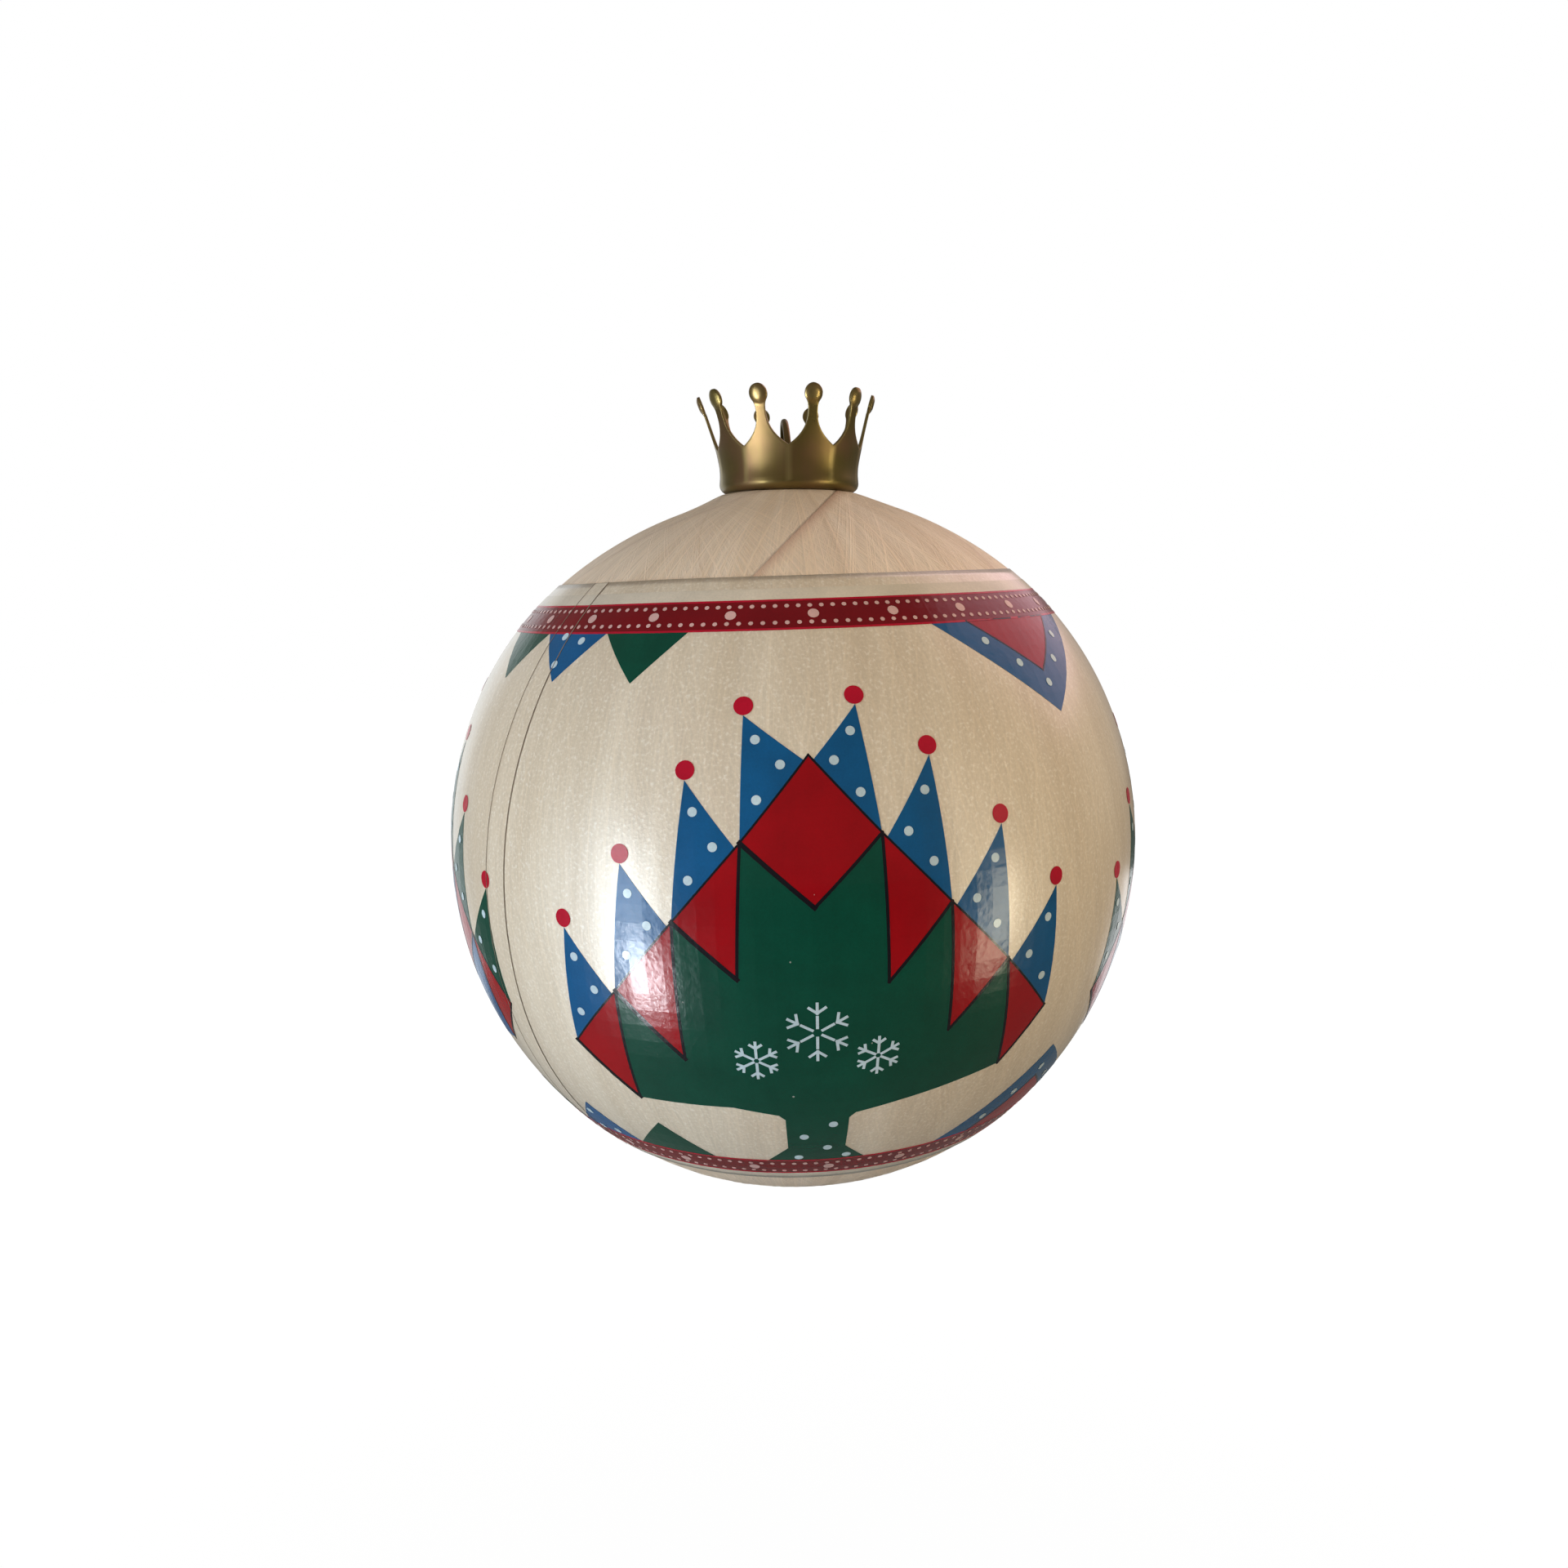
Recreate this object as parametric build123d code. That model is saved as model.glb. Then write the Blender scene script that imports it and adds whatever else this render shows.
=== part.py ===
from build123d import *
from math import atan2, cos, degrees, pi, sin
import os

# Thread-wound ball ornament with a printed film sleeve, a stamped crown cap and a wire hanger.
# Everything is built with the ball's centre at the origin and +Z towards the crown. It is then
# moved down, so that the origin is the point at the top of the wire eye where a hook bears.

# Ball
core_radius = 40.0              # moulded foam ball
winding_thickness = 1.35        # thread layer over the equator
polar_build_up = 1.15           # extra thread at a pole, where every turn crosses
seat_drop = 0.65                # height taken off the upper pole to seat the crown

# Film sleeve, shrunk over the winding
film_thickness = 0.15
film_top = 32.2                 # upper edge above the ball's centre
film_bottom = -32.2             # lower edge

# Crown cap, stamped from one sheet
sheet = 0.35
crown_radius = 8.35             # outside, at the foot of the wall
crown_corner = 1.0              # outside radius between floor and wall
crown_height = 11.2             # floor's underside to the top of the buttons
crown_flare = 1.9               # how far the tips lean out past the foot
flare_start = 2.0               # height where the wall begins to lean out
flare_power = 1.3               # 1 is a straight lean, more is a curved one
point_count = 10
valley_height = 4.8             # lowest point of each notch
button_diameter = 2.0
button_rise = 0.3               # how far the domed button stands off the sheet
neck_width = 1.2
neck_drop = 1.5                 # button's centre down to the narrowest part of its neck
floor_hole_radius = 1.7

# Wire hanger: two legs pushed into the ball and one open eye
wire_diameter = 0.8
leg_spacing = 1.2               # centre to centre
leg_length = 26.0               # below the crown's floor
eye_width = 6.6                 # outside
eye_top = 8.7                   # top of the wire above the crown floor's underside
shoulder_gap = 0.06             # wire over the crown's floor
shoulder_slope = 0.35           # climb of each shoulder towards the eye, for each mm across
leg_clearance = 0.05            # leg to its hole, all round
hole_extra_depth = 1.5          # hole beyond the end of the leg

winding_radius = core_radius + winding_thickness
winding_polar = winding_radius + polar_build_up
seat_height = winding_polar - seat_drop
wire_radius = wire_diameter / 2
tip_height = crown_height - button_diameter / 2
hook_height = seat_height + eye_top - wire_diameter


def spheroid(radius, polar):
    """Solid ball with its own equatorial and polar radius."""
    rim = EllipticalCenterArc((0, 0), radius, polar, start_angle=-90, arc_size=180)
    outline = Wire([rim, Line((0, polar), (0, -polar))])
    return revolve(Plane.XZ * Face(outline), axis=Axis.Z)


def slab(low, high):
    """Block wider than the ball, between two heights."""
    side = 4 * winding_radius
    return Pos(0, 0, (low + high) / 2) * Box(side, side, high - low)


def leg_holes():
    """Two blind holes that guide the hanger's legs through winding and core."""
    top = seat_height + 1
    bottom = seat_height - leg_length - hole_extra_depth
    hole = Cylinder(wire_radius + leg_clearance, top - bottom)
    return [Pos(0, side * leg_spacing / 2, (top + bottom) / 2) * hole for side in (-1, 1)]


def foam_core():
    return Sphere(core_radius) - leg_holes()


def satin_winding():
    body = spheroid(winding_radius, winding_polar) - Sphere(core_radius)
    return body - slab(seat_height, seat_height + winding_radius) - leg_holes()


def printed_sleeve():
    outside = spheroid(winding_radius + film_thickness, winding_polar + film_thickness)
    inside = spheroid(winding_radius, winding_polar)
    return (outside - inside) & slab(film_bottom, film_top)


def lean(height):
    """How far the crown's wall stands out past its foot, by height above the floor's underside."""
    share = max(0.0, (height - flare_start) / (tip_height - flare_start))
    return crown_flare * share ** flare_power


def crown_blank():
    """Flared cup before its rim is cut into points."""
    corner_x = crown_radius - crown_corner
    steps = 6
    straight = (flare_start + crown_corner) / 2
    heights = [straight + (tip_height - straight) * i / steps for i in range(steps + 1)]
    outer = [(crown_radius + lean(h), h) for h in heights]
    inner = [(r - sheet, h) for r, h in reversed(outer)]
    edges = [
        Line((floor_hole_radius, 0), (corner_x, 0)),
        CenterArc((corner_x, crown_corner), crown_corner, -90, 90),
        Line((crown_radius, crown_corner), outer[0]),
        Spline(outer),
        Line(outer[-1], inner[0]),
        Spline(inner),
        Line(inner[-1], (crown_radius - sheet, crown_corner)),
        CenterArc((corner_x, crown_corner), crown_corner - sheet, 0, -90),
        Line((corner_x, sheet), (floor_hole_radius, sheet)),
        Line((floor_hole_radius, sheet), (floor_hole_radius, 0)),
    ]
    return revolve(Plane.XZ * Face(Wire(edges)), axis=Axis.Z)


def notch():
    """Cutter for the space between two neighbouring points, facing -Y."""
    half_pitch = (crown_radius + crown_flare) * sin(pi / point_count)
    neck_side = half_pitch - neck_width / 2
    neck_height = tip_height - neck_drop
    top = crown_height + 1
    climb = neck_height - valley_height
    bend = (0.5 * neck_side, valley_height + 0.3 * climb)
    side = Spline((0, valley_height), bend, (neck_side, neck_height))
    lid = Polyline((neck_side, neck_height), (neck_side, top), (-neck_side, top),
                   (-neck_side, neck_height))
    outline = Face(Wire([side, *lid.edges(), side.mirror(Plane.YZ)]))
    return extrude(Plane.XZ * outline, crown_radius + crown_flare + 2)


def button():
    """Domed round button on one point's tip, lying on the leaning wall and facing -Y."""
    radius = button_diameter / 2
    dome_radius = (radius ** 2 + button_rise ** 2) / (2 * button_rise)
    disc = Pos(0, 0, -sheet / 2) * Cylinder(radius, sheet)
    ball = Pos(0, 0, button_rise - dome_radius) * Sphere(dome_radius)
    dome = ball & (Pos(0, 0, button_rise / 2) * Cylinder(radius, button_rise))
    tilt = degrees(atan2(lean(tip_height) - lean(tip_height - 1), 1))
    face = Pos(0, -(crown_radius + crown_flare), tip_height) * Rot(90 + tilt, 0, 0)
    return face * (disc + dome)


def crown_cap():
    cup = crown_blank()
    pitch = 360 / point_count
    cup -= [Rot(0, 0, pitch * i) * notch() for i in range(point_count)]
    cup += [Rot(0, 0, pitch * (i + 0.5)) * button() for i in range(point_count)]
    return Pos(0, 0, seat_height) * cup


def hanger_wire():
    """Round wire from one leg's end, over the eye, to the other leg's end."""
    leg_y = leg_spacing / 2
    eye_y = eye_width / 2 - wire_radius
    rim_y = floor_hole_radius
    lift = (wire_radius + shoulder_gap) * (1 + shoulder_slope ** 2) ** 0.5
    shoulder_z = sheet + lift - shoulder_slope * (rim_y - leg_y)
    spread_z = shoulder_z + shoulder_slope * (eye_y - leg_y)
    top_z = eye_top - wire_radius
    half = [(leg_y, -leg_length), (leg_y, shoulder_z), (eye_y, spread_z), (eye_y, top_z)]
    corners = half + [(-y, z) for y, z in reversed(half)]
    shoulder_bend = wire_radius + 0.2
    side_bend = 0.42 * (eye_y - leg_y)
    crest_bend = 0.98 * eye_y
    radii = [shoulder_bend, side_bend, crest_bend, crest_bend, side_bend, shoulder_bend]
    route = FilletPolyline(*[(0, y, z) for y, z in corners], radius=radii)
    section = Plane(origin=route @ 0, z_dir=route % 0) * Circle(wire_radius)
    return Pos(0, 0, seat_height) * sweep(section, path=route)


pieces = {
    "foam_core": foam_core(),
    "satin_winding": satin_winding(),
    "printed_sleeve": printed_sleeve(),
    "crown_cap": crown_cap(),
    "hanger_wire": hanger_wire(),
}

os.makedirs("parts", exist_ok=True)
for name, solid in pieces.items():
    export_step(Pos(0, 0, -hook_height) * solid, f"parts/{name}.step")
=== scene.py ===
import math
import random

import bmesh
import bpy
from mathutils import Matrix, Vector


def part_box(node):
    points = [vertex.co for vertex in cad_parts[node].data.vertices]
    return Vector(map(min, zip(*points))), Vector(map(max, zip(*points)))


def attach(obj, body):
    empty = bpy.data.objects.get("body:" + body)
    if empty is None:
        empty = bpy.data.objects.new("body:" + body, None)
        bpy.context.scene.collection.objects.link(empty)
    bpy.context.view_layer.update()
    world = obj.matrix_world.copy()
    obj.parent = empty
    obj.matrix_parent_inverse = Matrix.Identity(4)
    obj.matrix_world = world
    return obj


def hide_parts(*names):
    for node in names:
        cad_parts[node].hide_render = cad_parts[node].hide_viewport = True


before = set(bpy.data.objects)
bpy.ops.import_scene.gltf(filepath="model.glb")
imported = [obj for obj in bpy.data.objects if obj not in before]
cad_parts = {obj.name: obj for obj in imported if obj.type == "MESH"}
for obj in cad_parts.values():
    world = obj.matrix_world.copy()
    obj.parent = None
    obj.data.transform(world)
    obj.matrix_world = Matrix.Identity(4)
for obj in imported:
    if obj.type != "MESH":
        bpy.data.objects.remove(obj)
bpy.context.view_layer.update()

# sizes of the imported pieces
coreLow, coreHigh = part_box("foam_core")
sleeveLow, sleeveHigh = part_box("printed_sleeve")
threadLow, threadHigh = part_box("satin_winding")
crownLow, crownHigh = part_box("crown_cap")
wireLow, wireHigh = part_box("hanger_wire")

ballCentre = (coreLow + coreHigh) / 2
coreRadius = (coreHigh.x - coreLow.x) / 2
threadRadius = (threadHigh.x - threadLow.x) / 2
threadPolar = ballCentre.z - threadLow.z
seatHeight = threadHigh.z - ballCentre.z
filmRadius = (sleeveHigh.x - sleeveLow.x) / 2
filmThickness = filmRadius - threadRadius
filmPolar = threadPolar + filmThickness
filmEdge = sleeveHigh.z - ballCentre.z


def meshObject(name, bm, material, smooth=False):
    mesh = bpy.data.meshes.new(name)
    bm.to_mesh(mesh)
    bm.free()
    mesh.materials.append(material)
    if smooth:
        mesh.shade_smooth()
    obj = bpy.data.objects.new(name, mesh)
    bpy.context.scene.collection.objects.link(obj)
    return obj


def newGroup(name, inputs, outputs):
    group = bpy.data.node_groups.new(name, "ShaderNodeTree")
    for label, kind, value in inputs:
        socket = group.interface.new_socket(label, in_out="INPUT", socket_type=kind)
        if value is not None:
            socket.default_value = value
    for label, kind in outputs:
        group.interface.new_socket(label, in_out="OUTPUT", socket_type=kind)
    return group, group.nodes.new("NodeGroupInput"), group.nodes.new("NodeGroupOutput")


def feed(tree, value, socket):
    # a number or a colour is set on the socket, anything else is linked to it
    if isinstance(value, (int, float, tuple)):
        socket.default_value = value
    else:
        tree.links.new(value, socket)


def mathNode(tree, operation, *values):
    node = tree.nodes.new("ShaderNodeMath")
    node.operation = operation
    for value, socket in zip(values, node.inputs):
        feed(tree, value, socket)
    return node.outputs[0]


def mixColours(tree, blend, factor, first, second):
    node = tree.nodes.new("ShaderNodeMix")
    node.data_type = "RGBA"
    node.blend_type = blend
    for value, slot in ((factor, 0), (first, 6), (second, 7)):
        feed(tree, value, node.inputs[slot])
    return node.outputs[2]


def mixShaders(tree, share, first, second, output):
    mix = tree.nodes.new("ShaderNodeMixShader")
    tree.links.new(share, mix.inputs["Fac"])
    tree.links.new(first.outputs[0], mix.inputs[1])
    tree.links.new(second.outputs[0], mix.inputs[2])
    tree.links.new(mix.outputs[0], tree.nodes.new(output).inputs["Surface"])


def noiseNode(tree, vector, scale, detail):
    noise = tree.nodes.new("ShaderNodeTexNoise")
    noise.inputs["Detail"].default_value = detail
    feed(tree, scale, noise.inputs["Scale"])
    tree.links.new(vector, noise.inputs["Vector"])
    return noise.outputs["Fac"]


def groupNode(tree, group, vector, settings):
    node = tree.nodes.new("ShaderNodeGroup")
    node.node_tree = group
    for label, value in settings.items():
        node.inputs[label].default_value = value
    tree.links.new(vector, node.inputs["Vector"])
    return node


def spread(tree, value, low, high, newLow, newHigh):
    # carries the run from low to high over to the run from newLow to newHigh, and stops at its ends
    node = tree.nodes.new("ShaderNodeMapRange")
    for label, number in (("From Min", low), ("From Max", high), ("To Min", newLow), ("To Max", newHigh)):
        node.inputs[label].default_value = number
    tree.links.new(value, node.inputs["Value"])
    return node.outputs[0]


def greyOf(tree, value):
    grey = tree.nodes.new("ShaderNodeCombineColor")
    for slot in range(3):
        tree.links.new(value, grey.inputs[slot])
    return grey.outputs[0]


def startMaterial(name):
    material = bpy.data.materials.new(name)
    material.use_nodes = True
    tree = material.node_tree
    shader = tree.nodes["Principled BSDF"]
    return material, tree, shader


def ballCoordinates(tree):
    # Object coordinates, centred on the ball and counted in ball radii
    coords = tree.nodes.new("ShaderNodeTexCoord")
    place = tree.nodes.new("ShaderNodeMapping")
    place.vector_type = "TEXTURE"
    place.inputs["Location"].default_value = ballCentre
    place.inputs["Scale"].default_value = (filmRadius, filmRadius, filmRadius)
    tree.links.new(coords.outputs["Object"], place.inputs["Vector"])
    return place.outputs[0]


def bumpNode(tree, height, strength, distance, normal=None):
    bump = tree.nodes.new("ShaderNodeBump")
    bump.inputs["Strength"].default_value = strength
    bump.inputs["Distance"].default_value = distance
    tree.links.new(height, bump.inputs["Height"])
    if normal is not None:
        tree.links.new(normal, bump.inputs["Normal"])
    return bump.outputs[0]


cameraSet = {
    "back": 0.1478,         # from the ball's axis
    "rise": 0.0309,         # above the ball's centre
    "tiltDown": 9.41,
    "turn": -0.38,
    "roll": 0.60,
    "lens": 27.43,
    "sensor": 36.0,
    "clip": 0.005,
}


def makeCamera():
    data = bpy.data.cameras.new("camera")
    data.lens = cameraSet["lens"]
    data.sensor_width = cameraSet["sensor"]
    data.clip_start = cameraSet["clip"]
    camera = bpy.data.objects.new("camera", data)
    bpy.context.scene.collection.objects.link(camera)
    place = Matrix.Translation(ballCentre + Vector((0, -cameraSet["back"], cameraSet["rise"])))
    turn = Matrix.Rotation(math.radians(-cameraSet["turn"]), 4, "Z")
    tilt = Matrix.Rotation(math.radians(90 - cameraSet["tiltDown"]), 4, "X")
    roll = Matrix.Rotation(math.radians(-cameraSet["roll"]), 4, "Z")
    camera.matrix_world = place @ turn @ tilt @ roll
    bpy.context.scene.camera = camera


lampSet = {
    # degrees round from the front to the right, degrees above the ball's centre, distance from it,
    # width, height, radiance, colour, and whether the lamp shows only as a glint
    "boxLeft": (-54, -8, 0.42, 0.16, 0.34, 10.8, (0.80, 0.91, 1.0), False),
    "boxRight": (60, 13, 0.50, 0.20, 0.26, 8.4, (1.0, 0.88, 0.66), False),
    "boxTop": (-12, 82, 0.60, 0.55, 0.55, 0.60, (1.0, 0.92, 0.83), False),
    "boxBack": (185, 18, 0.60, 0.50, 0.40, 0.85, (1.0, 0.97, 0.93), False),
    "paneLeft": (-49.0, -33, 0.42, 0.038, 0.21, 78.0, (0.90, 0.96, 1.0), True),
    "paneLeftWide": (-49.0, -16, 0.43, 0.080, 0.38, 15.0, (0.80, 0.91, 1.0), True),
    "paneRight": (64, -17, 0.50, 0.080, 0.27, 16.0, (1.0, 0.90, 0.66), True),
    "paneRimLeft": (-148, -6, 0.60, 0.34, 0.62, 0.8, (0.90, 0.96, 1.0), True),
    "paneRimRight": (148, -32, 0.60, 0.34, 0.40, 1.3, (0.96, 0.97, 1.0), True),
    "paneBehind": (130, 37, 0.60, 0.60, 0.46, 1.35, (1.0, 0.66, 0.74), True),
}
narrowPane = 0.2            # a pane under this width is an ellipse, so that its glint has no corners


def lamp(name, azimuth, elevation, distance, width, height, radiance, colour, gloss):
    data = bpy.data.lights.new(name, "AREA")
    narrow = gloss and width < narrowPane
    data.shape = "ELLIPSE" if narrow else "RECTANGLE"
    data.size = width
    data.size_y = height
    area = width * height * (math.pi / 4 if narrow else 1)
    data.energy = radiance * math.pi * area
    data.color = colour
    obj = bpy.data.objects.new(name, data)
    bpy.context.scene.collection.objects.link(obj)
    toLamp = towards(azimuth, elevation)
    obj.location = ballCentre + toLamp * distance
    obj.rotation_euler = toLamp.to_track_quat("Z", "Y").to_euler()
    obj.visible_camera = False
    obj.visible_glossy = gloss
    obj.visible_diffuse = not gloss


def makeLamps():
    for name, settings in lampSet.items():
        lamp(name, *settings)


stageSet = {
    "drop": 0.26,           # floor below the ball's centre
    "size": 6.0,
    "worldLight": 0.18,
    "worldTint": (1.0, 0.94, 0.85, 1),
    "glossShare": 0.09,     # share of the white background in what a gloss shows
    "ceilingStart": 0.45,   # sine of the elevation where the white walls begin to fade
    "ceilingLevel": 0.22,   # and what is left of them straight above
    "floorGlow": 0.90,      # share of plain white in what the camera sees of the floor
    "glowStrength": 1.08,
    "fadeNear": 0.30,
    "fadeFar": 0.90,
    "floorPaint": (0.20, 0.197, 0.19, 1),
}


def seenDirectly(tree):
    # 1 where the eye or a glass sees the background, less in a gloss, 0 for what lights the object
    path = tree.nodes.new("ShaderNodeLightPath")
    gloss = mathNode(tree, "MULTIPLY", path.outputs["Is Glossy Ray"], stageSet["glossShare"])
    direct = mathNode(tree, "MAXIMUM", path.outputs["Is Camera Ray"],
                      path.outputs["Is Transmission Ray"])
    return mathNode(tree, "MAXIMUM", direct, gloss)


def makeWorld():
    world = bpy.data.worlds.new("world")
    bpy.context.scene.world = world
    world.use_nodes = True
    tree = world.node_tree
    tree.nodes.clear()
    light = tree.nodes.new("ShaderNodeBackground")
    light.inputs["Color"].default_value = stageSet["worldTint"]
    light.inputs["Strength"].default_value = stageSet["worldLight"]
    white = tree.nodes.new("ShaderNodeBackground")
    white.inputs["Color"].default_value = (1, 1, 1, 1)
    coords = tree.nodes.new("ShaderNodeTexCoord")
    split = tree.nodes.new("ShaderNodeSeparateXYZ")
    tree.links.new(coords.outputs["Generated"], split.inputs[0])
    ceiling = spread(tree, split.outputs[2], stageSet["ceilingStart"], 1, 1, stageSet["ceilingLevel"])
    path = tree.nodes.new("ShaderNodeLightPath")
    level = mathNode(tree, "MAXIMUM", ceiling, path.outputs["Is Camera Ray"])
    tree.links.new(level, white.inputs["Strength"])
    mixShaders(tree, seenDirectly(tree), light, white, "ShaderNodeOutputWorld")


def makeFloor():
    material = bpy.data.materials.new("floorWhite")
    material.use_nodes = True
    tree = material.node_tree
    tree.nodes.clear()
    paint = tree.nodes.new("ShaderNodeBsdfDiffuse")
    paint.inputs["Color"].default_value = stageSet["floorPaint"]
    glow = tree.nodes.new("ShaderNodeEmission")
    glow.inputs["Strength"].default_value = stageSet["glowStrength"]
    coords = tree.nodes.new("ShaderNodeTexCoord")
    length = tree.nodes.new("ShaderNodeVectorMath")
    length.operation = "LENGTH"
    tree.links.new(coords.outputs["Object"], length.inputs[0])
    fade = spread(tree, length.outputs["Value"], stageSet["fadeNear"], stageSet["fadeFar"],
                  stageSet["floorGlow"], 1)
    share = mathNode(tree, "MULTIPLY", fade, seenDirectly(tree))
    mixShaders(tree, share, paint, glow, "ShaderNodeOutputMaterial")
    bm = bmesh.new()
    bmesh.ops.create_grid(bm, x_segments=2, y_segments=2, size=stageSet["size"] / 2)
    bmesh.ops.translate(bm, verts=bm.verts, vec=(0, 0, ballCentre.z - stageSet["drop"]))
    meshObject("floor", bm, material)


reliefSet = {
    "lumps": 26,            # broad soft swells left by the thread bundles
    "lumpSpan": (4, 13),    # how close together they may lie
    "height": 0.000045,
    "seed": 7,
    "seatEdge": 11.4,       # polar angle where the crown's seat ends
    "shoulder": 19.0,       # the thread falls off fastest from the seat to here
    "shoulderEnd": 65.0,
    "shoulderDrop": 0.00062,
    "shoulderSide": 0.35,   # the winding is leaner on its left
    "askew": -1.34,         # degrees that the printed film sits aslant
}

askewTurn = Matrix.Rotation(math.radians(reliefSet["askew"]), 3, "Y")

reliefRandom = random.Random(reliefSet["seed"])
reliefWaves = [
    (Vector([reliefRandom.uniform(-1, 1) for axis in range(3)]).normalized()
     * reliefRandom.uniform(*reliefSet["lumpSpan"]), reliefRandom.uniform(0, 2 * math.pi))
    for wave in range(reliefSet["lumps"])
]


def towards(lon, lat):
    # unit direction from the ball's centre; longitude 0 faces the front, positive to the right
    lon, lat = math.radians(lon), math.radians(lat)
    return Vector((math.cos(lat) * math.sin(lon), -math.cos(lat) * math.cos(lon), math.sin(lat)))


def shoulder(direction):
    # thread heaped at the pole runs down in a cone instead of a round
    angle = math.degrees(math.acos(max(-1.0, min(1.0, direction.z))))
    if angle <= reliefSet["seatEdge"] or angle >= reliefSet["shoulderEnd"]:
        return 0.0
    middle = reliefSet["shoulder"]
    start = min(1.0, (angle - reliefSet["seatEdge"]) / (middle - reliefSet["seatEdge"]))
    fall = max(0.0, (angle - middle) / (reliefSet["shoulderEnd"] - middle))
    side = -direction.x / math.hypot(direction.x, direction.y)
    lean = 1 + reliefSet["shoulderSide"] * side
    onset = 1 - (1 - start) ** 2
    return -reliefSet["shoulderDrop"] * lean * onset * (0.5 + 0.5 * math.cos(math.pi * fall))


def relief(direction):
    total = sum(math.sin(wave.dot(direction) + phase) for wave, phase in reliefWaves)
    return reliefSet["height"] * total / math.sqrt(len(reliefWaves)) + shoulder(direction)


def onSpheroid(direction, radius, polar):
    flat = math.hypot(direction.x, direction.y)
    return 1 / math.sqrt((flat / radius) ** 2 + (direction.z / polar) ** 2)


def onFilm(lon, lat, lift):
    direction = askewTurn @ towards(lon, lat)
    reach = onSpheroid(direction, filmRadius, filmPolar) + relief(direction) + lift
    return ballCentre + direction * reach


def latitudeOf(height):
    # latitude on the film's outside at a height above the ball's centre
    flat = filmRadius * math.sqrt(1 - (height / filmPolar) ** 2)
    return math.degrees(math.atan2(height, flat))


strandSet = {
    # each fan of threads: the tilts of its pole in degrees, and how many threads it shows round the ball
    "fans": ((0, 0, 95), (14, -8, 120), (-10, 13, 105), (5, 19, 140)),
    "fanLength": 0.55,
    "fanSeed": 7.3,         # apart from one fan to the next
    # values of the noise where a strand's painted highlight begins, and where it is full
    "fanLit": (0.50, 0.74),
    "bundles": (9, 1.4, 3.1),   # fineness, length and seed
    "fibres": (260, 1.6, 0.0),
    "bundleToneAndSheenNoise": (0.36, 0.64),    # values of the noise that give the deepest and the palest thread, partly its own tone and partly painted satin sheen
    "fibreShade": (0.25, 0.75),
    "roughness": 0.6,
}


def makeStrandGroup():
    # fibres that run over the pole: fine across, long down the ball
    group, source, sink = newGroup(
        "strands",
        [("Vector", "NodeSocketVector", None), ("Fineness", "NodeSocketFloat", 60.0),
         ("Length", "NodeSocketFloat", 1.5), ("Seed", "NodeSocketFloat", 0.0)],
        [("Value", "NodeSocketFloat")],
    )
    split = group.nodes.new("ShaderNodeSeparateXYZ")
    group.links.new(source.outputs["Vector"], split.inputs[0])
    flat = group.nodes.new("ShaderNodeCombineXYZ")
    group.links.new(split.outputs[0], flat.inputs[0])
    group.links.new(split.outputs[1], flat.inputs[1])
    ring = group.nodes.new("ShaderNodeVectorMath")
    ring.operation = "NORMALIZE"
    group.links.new(flat.outputs[0], ring.inputs[0])
    around = group.nodes.new("ShaderNodeVectorMath")
    around.operation = "SCALE"
    group.links.new(ring.outputs[0], around.inputs[0])
    group.links.new(source.outputs["Fineness"], around.inputs["Scale"])
    apart = group.nodes.new("ShaderNodeSeparateXYZ")
    group.links.new(around.outputs[0], apart.inputs[0])
    down = mathNode(group, "MULTIPLY_ADD", split.outputs[2], source.outputs["Length"],
                    source.outputs["Seed"])
    joined = group.nodes.new("ShaderNodeCombineXYZ")
    group.links.new(apart.outputs[0], joined.inputs[0])
    group.links.new(apart.outputs[1], joined.inputs[1])
    group.links.new(down, joined.inputs[2])
    fibres = noiseNode(group, joined.outputs[0], 1, 2)
    fibres.node.inputs["Roughness"].default_value = strandSet["roughness"]
    group.links.new(fibres, sink.inputs["Value"])
    return group


def addStrands(group, strands, vector, fineness, length, seed):
    settings = {"Fineness": fineness, "Length": length, "Seed": seed}
    return groupNode(group, strands, vector, settings).outputs[0]


crossingSet = {
    # planes that cut the ball beside its pole, where one bundle of thread lies over another: the
    # direction across the plane, its distance from the ball's centre, and how dark the painted shade along
    # its edge is
    "planes": ((-0.71, -0.017, 0.704, 0.615, 1.0), (-0.44, 0.62, 0.65, 0.575, 0.55),
               (0.60, -0.35, 0.72, 0.640, 0.30), (0.30, 0.71, -0.64, -0.555, 0.60),
               (-0.66, -0.62, 0.42, 0.350, 0.25), (0.98, 0.15, 0.10, 0.120, 0.35)),
    "width": 0.040,         # of the painted shade along the edge, in ball radii
    "sharpness": 8,         # how much narrower it is on the far side
    "from": 0.55,           # they show above this height
    "to": 0.80,
}


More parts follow.
